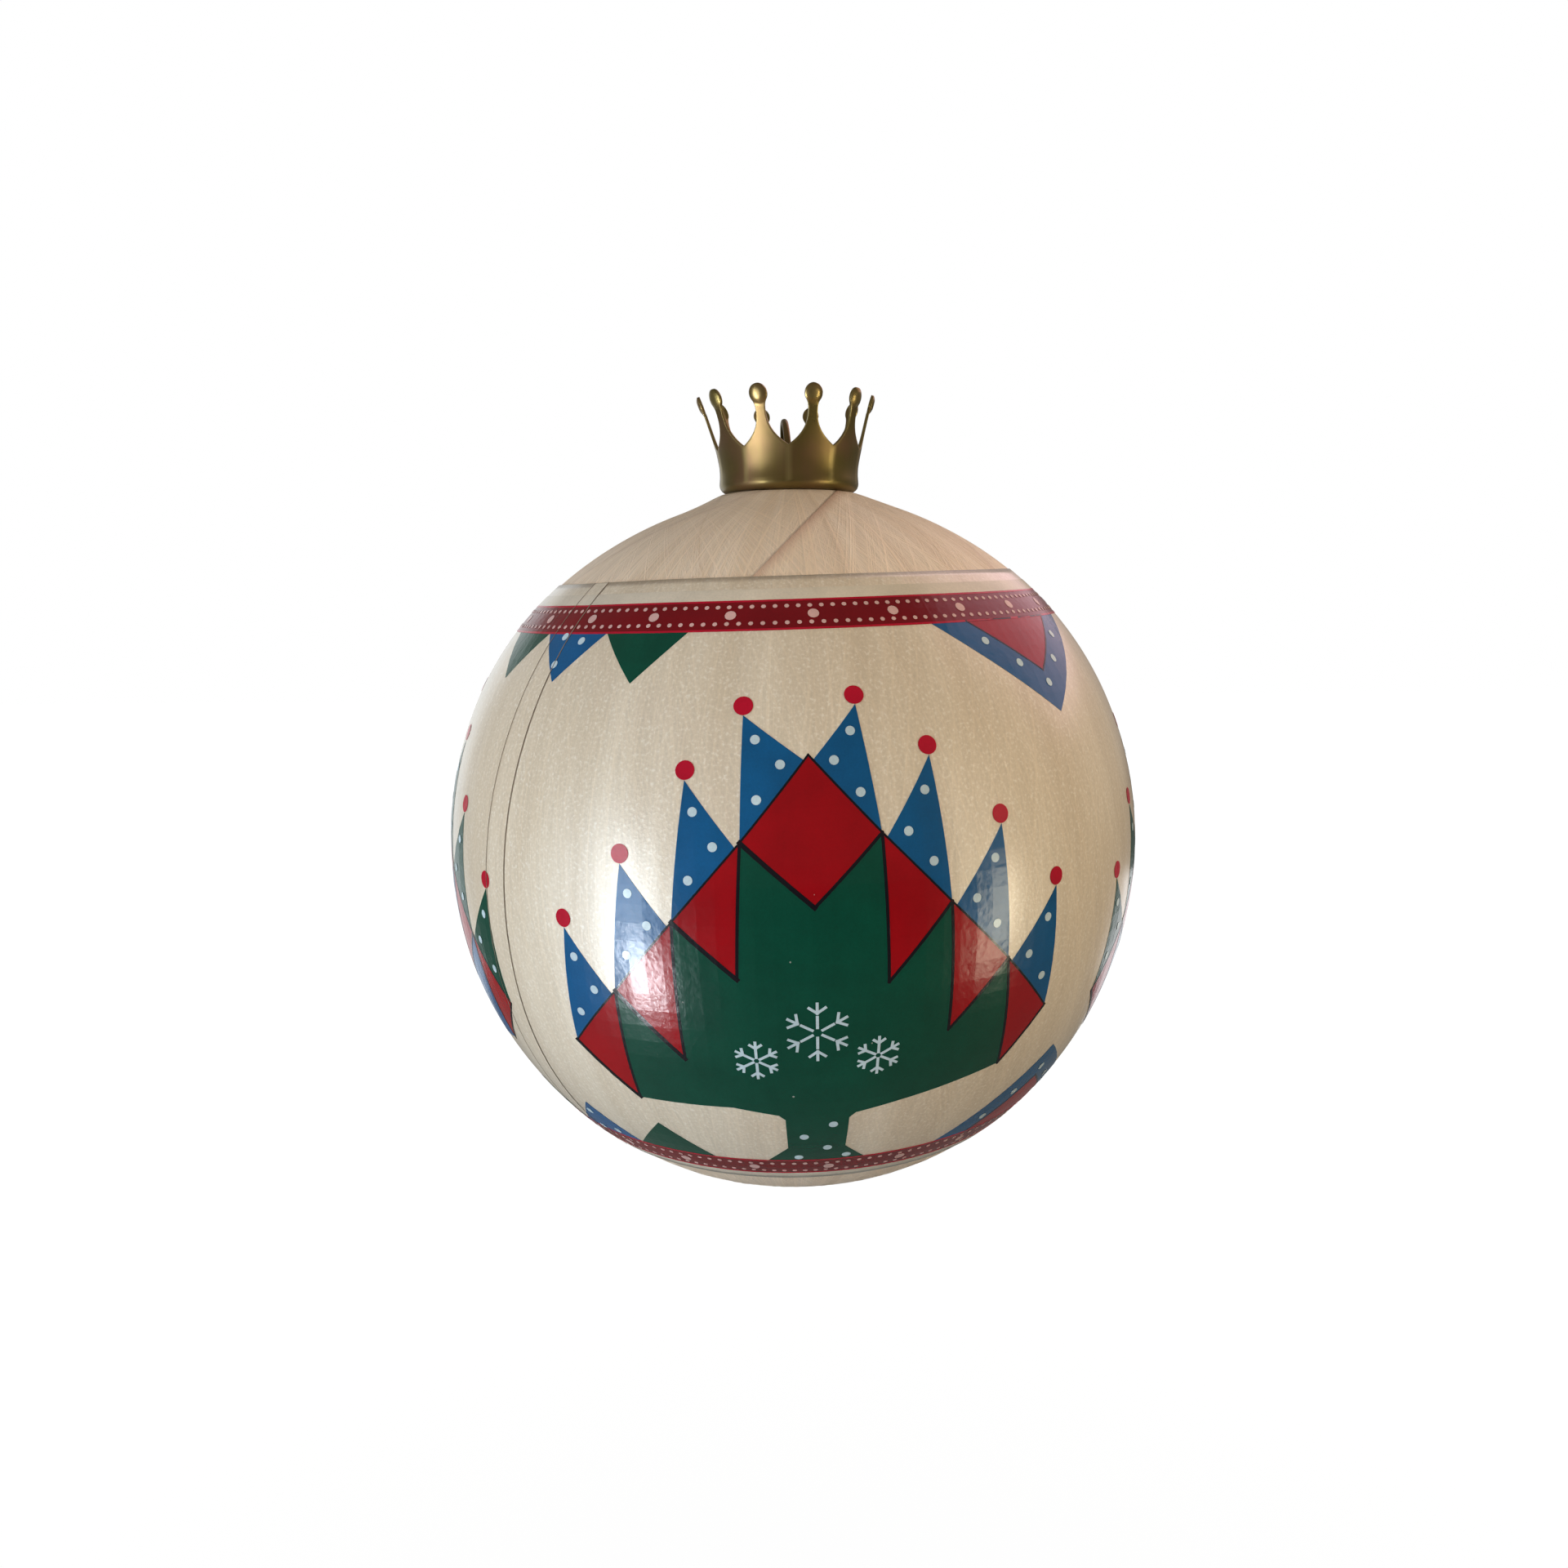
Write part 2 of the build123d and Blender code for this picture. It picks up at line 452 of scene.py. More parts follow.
def makeThreadGroup(strands):
    # fans of strands whose poles lie a little apart, so that they cross near the crown
    group, source, sink = newGroup(
        "windingThreads",
        [("Vector", "NodeSocketVector", None)],
        [("Bundles", "NodeSocketFloat"), ("Streaks", "NodeSocketFloat"), ("Fine", "NodeSocketFloat"),
         ("Crossings", "NodeSocketFloat")],
    )
    vector = source.outputs["Vector"]
    bright = None
    for number, (tiltX, tiltY, fineness) in enumerate(strandSet["fans"]):
        turn = group.nodes.new("ShaderNodeMapping")
        turn.inputs["Rotation"].default_value = (math.radians(tiltX), math.radians(tiltY), 0)
        group.links.new(vector, turn.inputs["Vector"])
        seed = number * strandSet["fanSeed"]
        strand = addStrands(group, strands, turn.outputs[0], fineness, strandSet["fanLength"], seed)
        # painted highlight on the raised strands of each fan
        paintedStrandHighlight = spread(group, strand, *strandSet["fanLit"], 0, 1)
        bright = paintedStrandHighlight if bright is None else mathNode(group, "MAXIMUM", bright, paintedStrandHighlight)
    edges = None
    split = group.nodes.new("ShaderNodeSeparateXYZ")
    group.links.new(vector, split.inputs[0])
    for x, y, z, away, paintedShadeDepth in crossingSet["planes"]:
        across = group.nodes.new("ShaderNodeVectorMath")
        across.operation = "DOT_PRODUCT"
        across.inputs[1].default_value = (x, y, z)
        group.links.new(vector, across.inputs[0])
        offset = mathNode(group, "SUBTRACT", across.outputs["Value"], away)
        # painted shade, sharp on one side and soft on the other
        soft = spread(group, offset, -crossingSet["width"], 0, 0, 1)
        hard = spread(group, offset, 0, crossingSet["width"] / crossingSet["sharpness"], 1, 0)
        edge = mathNode(group, "MULTIPLY", mathNode(group, "MULTIPLY", soft, hard), paintedShadeDepth)
        edges = edge if edges is None else mathNode(group, "MAXIMUM", edges, edge)
    high = spread(group, split.outputs[2], crossingSet["from"], crossingSet["to"], 0, 1)
    group.links.new(mathNode(group, "MULTIPLY", edges, high), sink.inputs["Crossings"])
    group.links.new(addStrands(group, strands, vector, *strandSet["bundles"]), sink.inputs["Bundles"])
    group.links.new(addStrands(group, strands, vector, *strandSet["fibres"]), sink.inputs["Fine"])
    group.links.new(bright, sink.inputs["Streaks"])
    return group


threadSet = {
    "pale": (0.88, 0.70, 0.535, 1),
    "deep": (0.81, 0.62, 0.45, 1),
    # colour of the painted shade along a crossing's edge
    "paintedCrossingShade": (0.58, 0.36, 0.25, 1),
    "strandHighlight": 0.15,         # painted highlight: how much brighter the raised threads are painted
    "fine": 0.08,           # how much the single fibres differ
    "roughness": 0.42,
    "specular": 0.40,
    "foldPower": 2.0,       # draws the painted shade in towards a crossing's edge
    "bump": 0.5,
    "foldHeight": 0.0004,
    "streakHeight": 0.00018,
    "fineHeight": 0.00008,
}


def threadColours(tree, place, threads, look):
    # colour of the wound thread, bare or under the film, with painted highlight on raised strands and
    # painted sheen in its bundles, and its group for the bumps
    winding = groupNode(tree, threads, place, {})
    strandHighlight, fine = look["strandHighlight"], look["fine"]
    toneAndSheenBands = spread(tree, winding.outputs["Bundles"], *strandSet["bundleToneAndSheenNoise"], 0, 1)
    # pale and deep bands: the thread's own tone together with painted satin sheen
    colour = mixColours(tree, "MIX", toneAndSheenBands, look["deep"], look["pale"])
    # painted highlight: the raised strands are painted brighter
    paintedStrandHighlight = spread(tree, winding.outputs["Streaks"], 0, 1, 1 - strandHighlight / 2, 1 + strandHighlight)
    hair = spread(tree, winding.outputs["Fine"], *strandSet["fibreShade"], 1 - fine, 1 + fine)
    level = mathNode(tree, "MULTIPLY", paintedStrandHighlight, hair)
    return mixColours(tree, "MULTIPLY", 1.0, colour, greyOf(tree, level)), winding


def makeThreadMaterial(threads):
    material, tree, shader = startMaterial("satinThread")
    place = ballCoordinates(tree)
    colour, winding = threadColours(tree, place, threads, threadSet)
    # painted shade: the thread is painted darker along each crossing's edge
    paintedFoldShade = mathNode(tree, "POWER", winding.outputs["Crossings"], threadSet["foldPower"])
    colour = mixColours(tree, "MIX", paintedFoldShade, colour, threadSet["paintedCrossingShade"])
    tree.links.new(colour, shader.inputs["Base Color"])
    shader.inputs["Roughness"].default_value = threadSet["roughness"]
    shader.inputs["Specular IOR Level"].default_value = threadSet["specular"]
    fold = bumpNode(tree, winding.outputs["Crossings"], threadSet["bump"], threadSet["foldHeight"])
    low = bumpNode(tree, winding.outputs["Streaks"], threadSet["bump"], threadSet["streakHeight"], fold)
    fibres = bumpNode(tree, winding.outputs["Fine"], threadSet["bump"], threadSet["fineHeight"], low)
    tree.links.new(fibres, shader.inputs["Normal"])
    return material


filmSet = {
    "pale": (0.715, 0.585, 0.44, 1),
    "deep": (0.645, 0.512, 0.37, 1),
    # painted highlight on the raised strands seen through the film
    "strandHighlight": 0.08,
    "fine": 0.05,
    "paintedGlint": (0.97, 0.92, 0.84, 1),
    "grain": 135,           # of the pearly grain and its painted glints
    "paintedGlintShare": 0.38,
    "paintedGlintNoise": (0.54, 0.72),   # where the grain's painted glint begins, and where it is full
    "dullShade": (0.30, 0.50),
    "dullest": 0.93,
    "bump": 0.35,
    "grainHeight": 0.00008,
    "bundleHeight": 0.0006,
    "roughness": 0.40,
    "specular": 0.75,
    "coatRoughness": 0.21,
    "coatIndex": 1.36,
    "ripple": 70,
    "rippleBump": 0.24,
    "rippleHeight": 0.0001,
}


def clearCoat(tree, shader, place):
    # the film's gloss, rippled where it has shrunk on to the threads
    shader.inputs["Coat Weight"].default_value = 1.0
    shader.inputs["Coat Roughness"].default_value = filmSet["coatRoughness"]
    shader.inputs["Coat IOR"].default_value = filmSet["coatIndex"]
    ripple = noiseNode(tree, place, filmSet["ripple"], 4)
    wavy = bumpNode(tree, ripple, filmSet["rippleBump"], filmSet["rippleHeight"])
    tree.links.new(wavy, shader.inputs["Coat Normal"])


speckSet = {
    "colour": (0.62, 0.58, 0.52, 1),
    "spread": 16.0,         # cells across a ball radius
    "rare": 0.55,           # share of the cells that hold none
    "radius": 0.06,         # of the largest, in cells
    "blur": 0.02,
    "strength": 0.45,
}


def makeSpeckGroup():
    # dust and pin holes in the film, some cells with one and some with none
    group, source, sink = newGroup(
        "filmSpecks",
        [("Vector", "NodeSocketVector", None), ("Spread", "NodeSocketFloat", speckSet["spread"])],
        [("Specks", "NodeSocketFloat")],
    )
    cells = group.nodes.new("ShaderNodeTexVoronoi")
    group.links.new(source.outputs["Vector"], cells.inputs["Vector"])
    group.links.new(source.outputs["Spread"], cells.inputs["Scale"])
    size = group.nodes.new("ShaderNodeSeparateColor")
    group.links.new(cells.outputs["Color"], size.inputs[0])
    reach = spread(group, size.outputs[0], speckSet["rare"], 1, 0, speckSet["radius"])
    inside = mathNode(group, "SUBTRACT", reach, cells.outputs["Distance"])
    group.links.new(spread(group, inside, 0, speckSet["blur"], 0, 1), sink.inputs["Specks"])
    return group


def addSpecks(tree, place, specks, colour):
    amount = mathNode(tree, "MULTIPLY", groupNode(tree, specks, place, {}).outputs[0],
                      speckSet["strength"])
    return mixColours(tree, "MIX", amount, colour, speckSet["colour"])


def makeFilmMaterial(threads):
    # the thread as it looks through the film, under the film's own gloss
    material, tree, shader = startMaterial("clearFilm")
    place = ballCoordinates(tree)
    colour, winding = threadColours(tree, place, threads, filmSet)
    grain = noiseNode(tree, place, filmSet["grain"], 3)
    # painted glints: the brightest grain of the pearly film is painted near white
    paintedSparkle = spread(tree, grain, *filmSet["paintedGlintNoise"], 0, filmSet["paintedGlintShare"])
    dull = spread(tree, grain, *filmSet["dullShade"], filmSet["dullest"], 1)
    colour = mixColours(tree, "MULTIPLY", 1.0, colour, greyOf(tree, dull))
    colour = mixColours(tree, "MIX", paintedSparkle, colour, filmSet["paintedGlint"])
    tree.links.new(colour, shader.inputs["Base Color"])
    shader.inputs["Roughness"].default_value = filmSet["roughness"]
    shader.inputs["Specular IOR Level"].default_value = filmSet["specular"]
    clearCoat(tree, shader, place)
    low = bumpNode(tree, winding.outputs["Bundles"], filmSet["bump"], filmSet["bundleHeight"])
    gritty = bumpNode(tree, grain, filmSet["bump"], filmSet["grainHeight"], low)
    tree.links.new(gritty, shader.inputs["Normal"])
    return material


inkColours = {
    "blue": (0.004, 0.082, 0.215),
    "red": (0.30, 0.0006, 0.004),
    "green": (0.0008, 0.054, 0.031),
    "black": (0.006, 0.004, 0.007),
    "white": (0.50, 0.60, 0.64),
    "ribbon": (0.165, 0.0015, 0.005),
    "pink": (0.64, 0.38, 0.35),
    "crimson": (0.44, 0.003, 0.021),
    "pearl": (0.66, 0.56, 0.445),
    "seam": (0.24, 0.18, 0.13),
}
inkSet = {
    "mottle": 9,            # broad unevenness of the ink
    "weave": 190,           # fine unevenness from the threads under it
    "noise": (0.3, 0.7),    # values of the noise that give the shades below
    "mottleShade": (0.88, 1.1),
    "weaveShade": (0.95, 1.05),
    "roughness": 0.5,
    "bump": 0.12,
    "height": 0.0002,
}


brassSet = {
    "bright": (0.178, 0.126, 0.034, 1),
    "olive": (0.130, 0.099, 0.024, 1),
    "brown": (0.190, 0.105, 0.050, 1),
    # bright brass of the rubbed wear and the painted highlight
    "rubbedAndHighlit": (0.39, 0.295, 0.115, 1),
    "roughness": (0.25, 0.42),
    "metal": 0.82,          # the rest is dull tarnish
    "tarnish": 0.75,
    "lines": 0.25,          # how far the drawing marks shift the tarnish
    "wearAndHighlight": 0.6,
    "dullNoise": (0.35, 0.62),      # where the noise is clean brass and where it is tarnished
    "warmNoise": (0.42, 0.58),
    "markNoise": (0.3, 0.7),
    "bump": 0.05,
    "scratchHeight": 0.00003,
    "warmShift": (3.1, 1.7, 5.3),   # keeps the brown blotches apart from the dull ones
    "markStretch": 0.12,
    "crownPattern": {"Blotch": 5.0, "Marks": 60.0},
    "wirePattern": {"Blotch": 9.0, "Marks": 120.0},
}


def makeBrassGroup():
    # tarnish in soft blotches with fine drawing marks that run up the wall
    group, source, sink = newGroup(
        "brassTarnish",
        [("Vector", "NodeSocketVector", None), ("Blotch", "NodeSocketFloat", 6.0),
         ("Marks", "NodeSocketFloat", 60.0)],
        [("Tarnish", "NodeSocketFloat"), ("Warmth", "NodeSocketFloat"), ("Scratches", "NodeSocketFloat")],
    )
    shift = group.nodes.new("ShaderNodeVectorMath")
    shift.inputs[1].default_value = brassSet["warmShift"]
    group.links.new(source.outputs["Vector"], shift.inputs[0])
    squash = group.nodes.new("ShaderNodeMapping")
    squash.inputs["Scale"].default_value = (1, 1, brassSet["markStretch"])
    group.links.new(source.outputs["Vector"], squash.inputs["Vector"])
    blotch = noiseNode(group, source.outputs["Vector"], source.outputs["Blotch"], 4)
    warmth = noiseNode(group, shift.outputs[0], source.outputs["Blotch"], 2)
    marks = noiseNode(group, squash.outputs[0], source.outputs["Marks"], 3)
    group.links.new(spread(group, blotch, *brassSet["dullNoise"], 0, 1), sink.inputs["Tarnish"])
    group.links.new(spread(group, warmth, *brassSet["warmNoise"], 0, 1), sink.inputs["Warmth"])
    group.links.new(marks, sink.inputs["Scratches"])
    return group


def makeBrassMaterial(name, tarnishGroup, pattern):
    material, tree, shader = startMaterial(name)
    tarnish = groupNode(tree, tarnishGroup, ballCoordinates(tree), pattern)
    lines = spread(tree, tarnish.outputs["Scratches"], *brassSet["markNoise"], 0, brassSet["lines"])
    amount = mathNode(tree, "MULTIPLY_ADD", tarnish.outputs["Tarnish"], brassSet["tarnish"], lines)
    dull = mixColours(tree, "MIX", tarnish.outputs["Warmth"], brassSet["olive"], brassSet["brown"])
    colour = mixColours(tree, "MIX", amount, brassSet["bright"], dull)
    # rubbed wear and painted highlight: brass painted brighter at the foot's rounding, creases, cut edges
    # and buttons
    wornAndHighlit = tree.nodes.new("ShaderNodeAttribute")
    wornAndHighlit.attribute_name = "rubbedAndHighlit"
    rubAndHighlight = mathNode(tree, "MULTIPLY", wornAndHighlit.outputs["Fac"], brassSet["wearAndHighlight"])
    colour = mixColours(tree, "MIX", rubAndHighlight, colour, brassSet["rubbedAndHighlit"])
    tree.links.new(colour, shader.inputs["Base Color"])
    shader.inputs["Metallic"].default_value = brassSet["metal"]
    tree.links.new(spread(tree, amount, 0, 1, *brassSet["roughness"]), shader.inputs["Roughness"])
    scratches = bumpNode(tree, tarnish.outputs["Scratches"], brassSet["bump"], brassSet["scratchHeight"])
    tree.links.new(scratches, shader.inputs["Normal"])
    return material


foamSet = {
    "beads": 16,            # across a ball radius
    "edgeShade": 0.8,       # where one bead meets the next
    "edgeReach": 0.7,       # from a bead's middle to there, in beads
    "roughness": 0.8,
    "bump": 0.4,
    "beadHeight": 0.0005,
}


def makeFoamMaterial():
    # fused beads of expanded polystyrene
    material, tree, shader = startMaterial("foamBeads")
    beads = tree.nodes.new("ShaderNodeTexVoronoi")
    beads.inputs["Scale"].default_value = foamSet["beads"]
    tree.links.new(ballCoordinates(tree), beads.inputs["Vector"])
    shade = spread(tree, beads.outputs["Distance"], 0, foamSet["edgeReach"], 1, foamSet["edgeShade"])
    tree.links.new(greyOf(tree, shade), shader.inputs["Base Color"])
    shader.inputs["Roughness"].default_value = foamSet["roughness"]
    dents = bumpNode(tree, beads.outputs["Distance"], foamSet["bump"], foamSet["beadHeight"])
    tree.links.new(dents, shader.inputs["Normal"])
    return material


def makeInkMaterial(name, colour, specks):
    material, tree, shader = startMaterial("ink" + name.capitalize())
    place = ballCoordinates(tree)
    mottle = noiseNode(tree, place, inkSet["mottle"], 4)
    weave = noiseNode(tree, place, inkSet["weave"], 2)
    level = mathNode(tree, "MULTIPLY", spread(tree, mottle, *inkSet["noise"], *inkSet["mottleShade"]),
                     spread(tree, weave, *inkSet["noise"], *inkSet["weaveShade"]))
    tinted = mixColours(tree, "MULTIPLY", 1.0, colour + (1,), greyOf(tree, level))
    tree.links.new(addSpecks(tree, place, specks, tinted), shader.inputs["Base Color"])
    shader.inputs["Roughness"].default_value = inkSet["roughness"]
    shader.inputs["Specular IOR Level"].default_value = 0.0
    clearCoat(tree, shader, place)
    tree.links.new(bumpNode(tree, mottle, inkSet["bump"], inkSet["height"]), shader.inputs["Normal"])
    return material


shellWeld = 0.000002        # vertices nearer than this are one


def spunShell(outer, inner, steps):
    # closed profile of (distance from the axis, height above the centre), turned about the axis
    bm = bmesh.new()
    verts = [bm.verts.new(ballCentre + Vector((0, -flat, height))) for flat, height in outer + inner]
    edges = [bm.edges.new(pair) for pair in zip(verts, verts[1:])]
    if outer[0][0] > 0:
        edges.append(bm.edges.new((verts[-1], verts[0])))
    bmesh.ops.spin(bm, geom=verts + edges, cent=ballCentre, axis=(0, 0, 1), angle=2 * math.pi,
                   steps=steps, use_merge=True)
    bmesh.ops.remove_doubles(bm, verts=bm.verts, dist=shellWeld)
    bmesh.ops.recalc_face_normals(bm, faces=bm.faces)
    return bm


def spheroidProfile(radius, polar, fromLat, toLat, count):
    points = []
    for step in range(count + 1):
        lat = math.radians(fromLat + (toLat - fromLat) * step / count)
        reach = 1 / math.sqrt((math.cos(lat) / radius) ** 2 + (math.sin(lat) / polar) ** 2)
        points.append((reach * math.cos(lat), reach * math.sin(lat)))
    return points


windingSet = {
    "holeRadius": 0.00125,
    "holeRound": 0.0003,
    "holeFlare": 1.4,           # where its rounding starts on the seat, in hole radii
    "seatRings": (0.7, 0.4),    # shares of the seat's radius
    "steps": 400,
    "rings": 130,
    "coreRings": 40,
    "ridgeHeight": 0.00004,
    "ridgeSeed": 11,
    "ridgePhase": 6.28,         # most that a fan's ridges are shifted, in radians of their wave
    "ridgeFans": 7,
    "ridgesInStep": 4,          # so many fans in step make the whole height
    "ridgesRound": (60, 150),   # fewest and most ridges of a fan
    "ridgeTwist": 1.5,
    "ridgeTurns": 9,
    "bareShare": 0.3,           # of the radius, inside which the ridges fade out
    "nearCore": 0.0003,         # what is nearer than this to the core or the seat stays smooth
    "nearSeat": 0.00002,
}


def makeWinding(material):
    flat = threadRadius * math.sqrt(1 - (seatHeight / threadPolar) ** 2)
    seatLat = math.degrees(math.atan2(seatHeight, flat))
    outer = spheroidProfile(threadRadius, threadPolar, -90, seatLat, windingSet["rings"])
    outer[0] = (0.0, outer[0][1])
    hole, holeRound = windingSet["holeRadius"], windingSet["holeRound"]
    inner = [(flat * share, seatHeight) for share in windingSet["seatRings"]]
    inner += [(windingSet["holeFlare"] * hole, seatHeight), (hole, seatHeight - holeRound)]
    bore = math.sqrt(coreRadius ** 2 - hole ** 2)
    coreLat = math.degrees(math.atan2(bore, hole))
    inner += spheroidProfile(coreRadius, coreRadius, coreLat, -90, windingSet["coreRings"])
    inner[-1] = (0.0, -coreRadius)
    bm = spunShell(outer, inner, windingSet["steps"])
    ridges = random.Random(windingSet["ridgeSeed"])
    twistMost, turns = windingSet["ridgeTwist"], windingSet["ridgeTurns"]
    fans = [(ridges.randint(*windingSet["ridgesRound"]), ridges.uniform(0, windingSet["ridgePhase"]),
             ridges.uniform(-twistMost, twistMost)) for fan in range(windingSet["ridgeFans"])]
    for vert in bm.verts:
        out = vert.co - ballCentre
        # the inside and the flat seat stay as they are
        if out.length < coreRadius + windingSet["nearCore"] or out.z > seatHeight - windingSet["nearSeat"]:
            continue
        around = math.atan2(out.x, -out.y)
        rise = out.normalized().z
        wave = sum(math.sin(count * around + phase + twist * rise * turns)
                   for count, phase, twist in fans) / windingSet["ridgesInStep"]
        fade = min(1.0, math.hypot(out.x, out.y) / (windingSet["bareShare"] * threadRadius))
        height = relief(out.normalized()) + windingSet["ridgeHeight"] * wave * fade
        vert.co += out.normalized() * height
    winding = meshObject("windingOfThread", bm, material, smooth=True)
    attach(winding, "ball")
    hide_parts("satin_winding")


sleeveSet = {
    "steps": 300,
    "rings": 84,
    "clear": 0.00003,       # film's inside over the thread
}


def makeSleeve(material):
    edgeLat = latitudeOf(filmEdge)
    outer = spheroidProfile(filmRadius, filmPolar, -edgeLat, edgeLat, sleeveSet["rings"])
    gap = sleeveSet["clear"]
    inner = spheroidProfile(threadRadius + gap, threadPolar + gap, edgeLat, -edgeLat, sleeveSet["rings"])
    bm = spunShell(outer, inner, sleeveSet["steps"])
    for vert in bm.verts:
        straight = vert.co - ballCentre
        out = straight.normalized()
        slanted = askewTurn @ out
        stretched = straight.length * onSpheroid(slanted, filmRadius, filmPolar)
        reach = stretched / onSpheroid(out, filmRadius, filmPolar)
        vert.co = ballCentre + slanted * (reach + relief(slanted))
    sleeve = meshObject("filmSleeve", bm, material, smooth=True)
    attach(sleeve, "ball")
    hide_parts("printed_sleeve")


# the print is drawn flat, in degrees of longitude and latitude, and then laid on the film
printSet = {
    "cut": 2.5,             # between the lines that cut it into facets, in degrees
    "cutNear": 0.0001,      # a vertex this near to such a line lies on it
    "weld": 0.0005,
    "thickness": 0.000015,
    "inkLift": 0.00003,
    "lineLift": 0.000045,
    "dotLift": 0.00006,
}


def degreesWide(size, lat):
    return math.degrees(size / (filmRadius * math.cos(math.radians(lat))))


def degreesTall(size):
    return math.degrees(size / filmRadius)


def polygonShape(shapes, corners):
    shapes.append([Vector((lon, lat, 0)) for lon, lat in corners])


def discShape(shapes, lon, lat, radius, sides=14):
    wide, tall = degreesWide(radius, lat), degreesTall(radius)
    ring = [2 * math.pi * side / sides for side in range(sides)]
    polygonShape(shapes, [(lon + wide * math.cos(turn), lat + tall * math.sin(turn)) for turn in ring])


def strokeShape(shapes, start, end, width):
    # thin bar from one point to the other, with its ends run on by half its width
    lat = (start[1] + end[1]) / 2
    squeeze = math.cos(math.radians(lat))
    along = Vector(((end[0] - start[0]) * squeeze, end[1] - start[1])).normalized()
    half = degreesTall(width) / 2
    along *= half
    across = Vector((-along.y, along.x))
    corners = []
    for point, ends, side in ((start, -1, 1), (start, -1, -1), (end, 1, -1), (end, 1, 1)):
        shift = along * ends + across * side
        corners.append((point[0] + shift.x / squeeze, point[1] + shift.y))
    polygonShape(shapes, corners)


def inkPiece(name, shapes, dots, lift, material):
    # shapes are cut small enough to follow the film, dots are small already
    bm = bmesh.new()
    for corners in shapes:
        bm.faces.new([bm.verts.new(corner) for corner in corners])
    bmesh.ops.triangulate(bm, faces=bm.faces)
    if shapes:
        for axis in (0, 1):
            low = min(vert.co[axis] for vert in bm.verts)
            high = max(vert.co[axis] for vert in bm.verts)
            line = math.ceil(low / printSet["cut"]) * printSet["cut"]
            normal = Vector((1 - axis, axis, 0))
            while line < high:
                bmesh.ops.bisect_plane(bm, geom=bm.verts[:] + bm.edges[:] + bm.faces[:],
                                       plane_co=normal * line, plane_no=normal, dist=printSet["cutNear"])
                line += printSet["cut"]
    for corners in dots:
        bm.faces.new([bm.verts.new(corner) for corner in corners])
    bmesh.ops.remove_doubles(bm, verts=bm.verts, dist=printSet["weld"])
    for face in bm.faces:
        if face.normal.z < 0:
            face.normal_flip()
    for vert in bm.verts:
        vert.co = onFilm(vert.co.x, vert.co.y, lift)
    bmesh.ops.triangulate(bm, faces=[face for face in bm.faces if len(face.verts) > 4])
    bm.normal_update()
    bmesh.ops.solidify(bm, geom=bm.faces[:], thickness=printSet["thickness"])
    piece = meshObject(name, bm, material)
    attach(piece, "ball")


motifSet = {
    "count": 4,
    "firstCentre": 2.8,     # longitude of the front motif
    "top": 21.8,            # latitude of the diamond's upper corner
    "diamondTall": 19.5,
    "ballRadius": 0.00094,  # red ball on each tip
    "ballRise": 1.3,
    "ballSides": 20,
    "dotRadius": 0.00046,
    "dotSpots": ((0.665, 0.215, 0.12), (0.21, 0.62, 0.17), (0.17, 0.25, 0.58)),
    "lineWidth": 0.00020,
    "sideLine": 0.00030,
    "thickLine": 0.00045,
    "bodyLow": -28.6,       # lower edge between the last hanging triangle and the stem
    "bodyMiddle": -30.1,    # lower edge at the stem
    "stemHalf": 5.1,
    "stemLow": -38.2,
    "stemFoot": -42.6,
    "footHalf": 9.7,
    "stepRound": (0.6, 0.7),    # a point's inner corner, out and down from its step
    "bodyOut": 8.0,         # where the lower edge begins, out from the stem
    "stemRound": 1.0,       # rounding where the lower edge meets the stem
    "stemDots": ((2.6, -32.4), (-2.2, -35.2), (1.9, -38.3), (-3.3, -41.0), (5.6, -40.9)),
}

# the two sides of a motif, in degrees, with one number for each step of its stair
leftSide = {
    "way": -1,
    "across": 9.37,         # one step of the stair
    "down": (0.0, 11.0, 21.4, 31.8, 41.2),  # each corner of the stair below its top
    "tipRise": (5.5, 8.0, 7.35, 8.25),
    "tipIn": (0.3, 1.7, 2.1, 1.9),
    "hangOut": (0.0, 1.0, 0.3, 0.8),    # hanging tip, out from the upper corner of its step
    "hangDrop": (0.0, 7.6, 9.9, 9.1),   # and down from the lower corner
}
rightSide = {
    "way": 1,
    "across": 9.22,
    "down": (0.0, 10.4, 20.2, 29.5, 38.9),
    "tipRise": (6.5, 9.5, 9.25, 8.7),
    "tipIn": (1.9, 1.3, 0.7, 0.5),
    "hangOut": (0.0, 0.4, 0.5, 2.3),
    "hangDrop": (0.0, 10.0, 9.3, 8.4),
}

ribbonSet = {
    "upper": (39.9, 44.9),
    "lower": (-47.0, -42.2),
    "bigDots": 24,
    "smallPerBig": 7,
    "bigStart": 5.4,        # the first big dot and the first small ones, in degrees and in small steps
    "smallStart": 0.3,
    "bigSides": 12,
    "smallSides": 8,
    "bigRadius": 0.00056,
    "smallRadius": 0.00024,
    "rowInset": 1.05,       # small dots in from the ribbon's edge, in degrees
    "edgeWidth": 0.00012,
    "margin": 2.3,          # pearl outside the upper ribbon
    "lowMargin": 1.2,
}

pennantSet = {
    "smallWide": 17.0,
    "smallTall": 8.0,
    "bigWide": 42.0,
    "bigTall": 15.4,
    "innerWide": 26.0,
    "innerTall": 9.0,
    "tipDot": 10.9,         # off the ribbon
    "armDots": ((5.4, 7.4), (11.0, 3.5)),
    "smallDots": ((0.08, 0.60, 0.32), (0.17, 0.24, 0.59), (0.66, 0.25, 0.09)),
}


def stairPoint(centre, side, step):
    # corner of the stair on one side of a motif
    return (centre + side["way"] * side["across"] * step, motifSet["top"] - side["down"][step])


def hangingTip(centre, side, step):
    upper, lower = stairPoint(centre, side, step), stairPoint(centre, side, step + 1)
    return (upper[0] + side["way"] * side["hangOut"][step], lower[1] - side["hangDrop"][step])


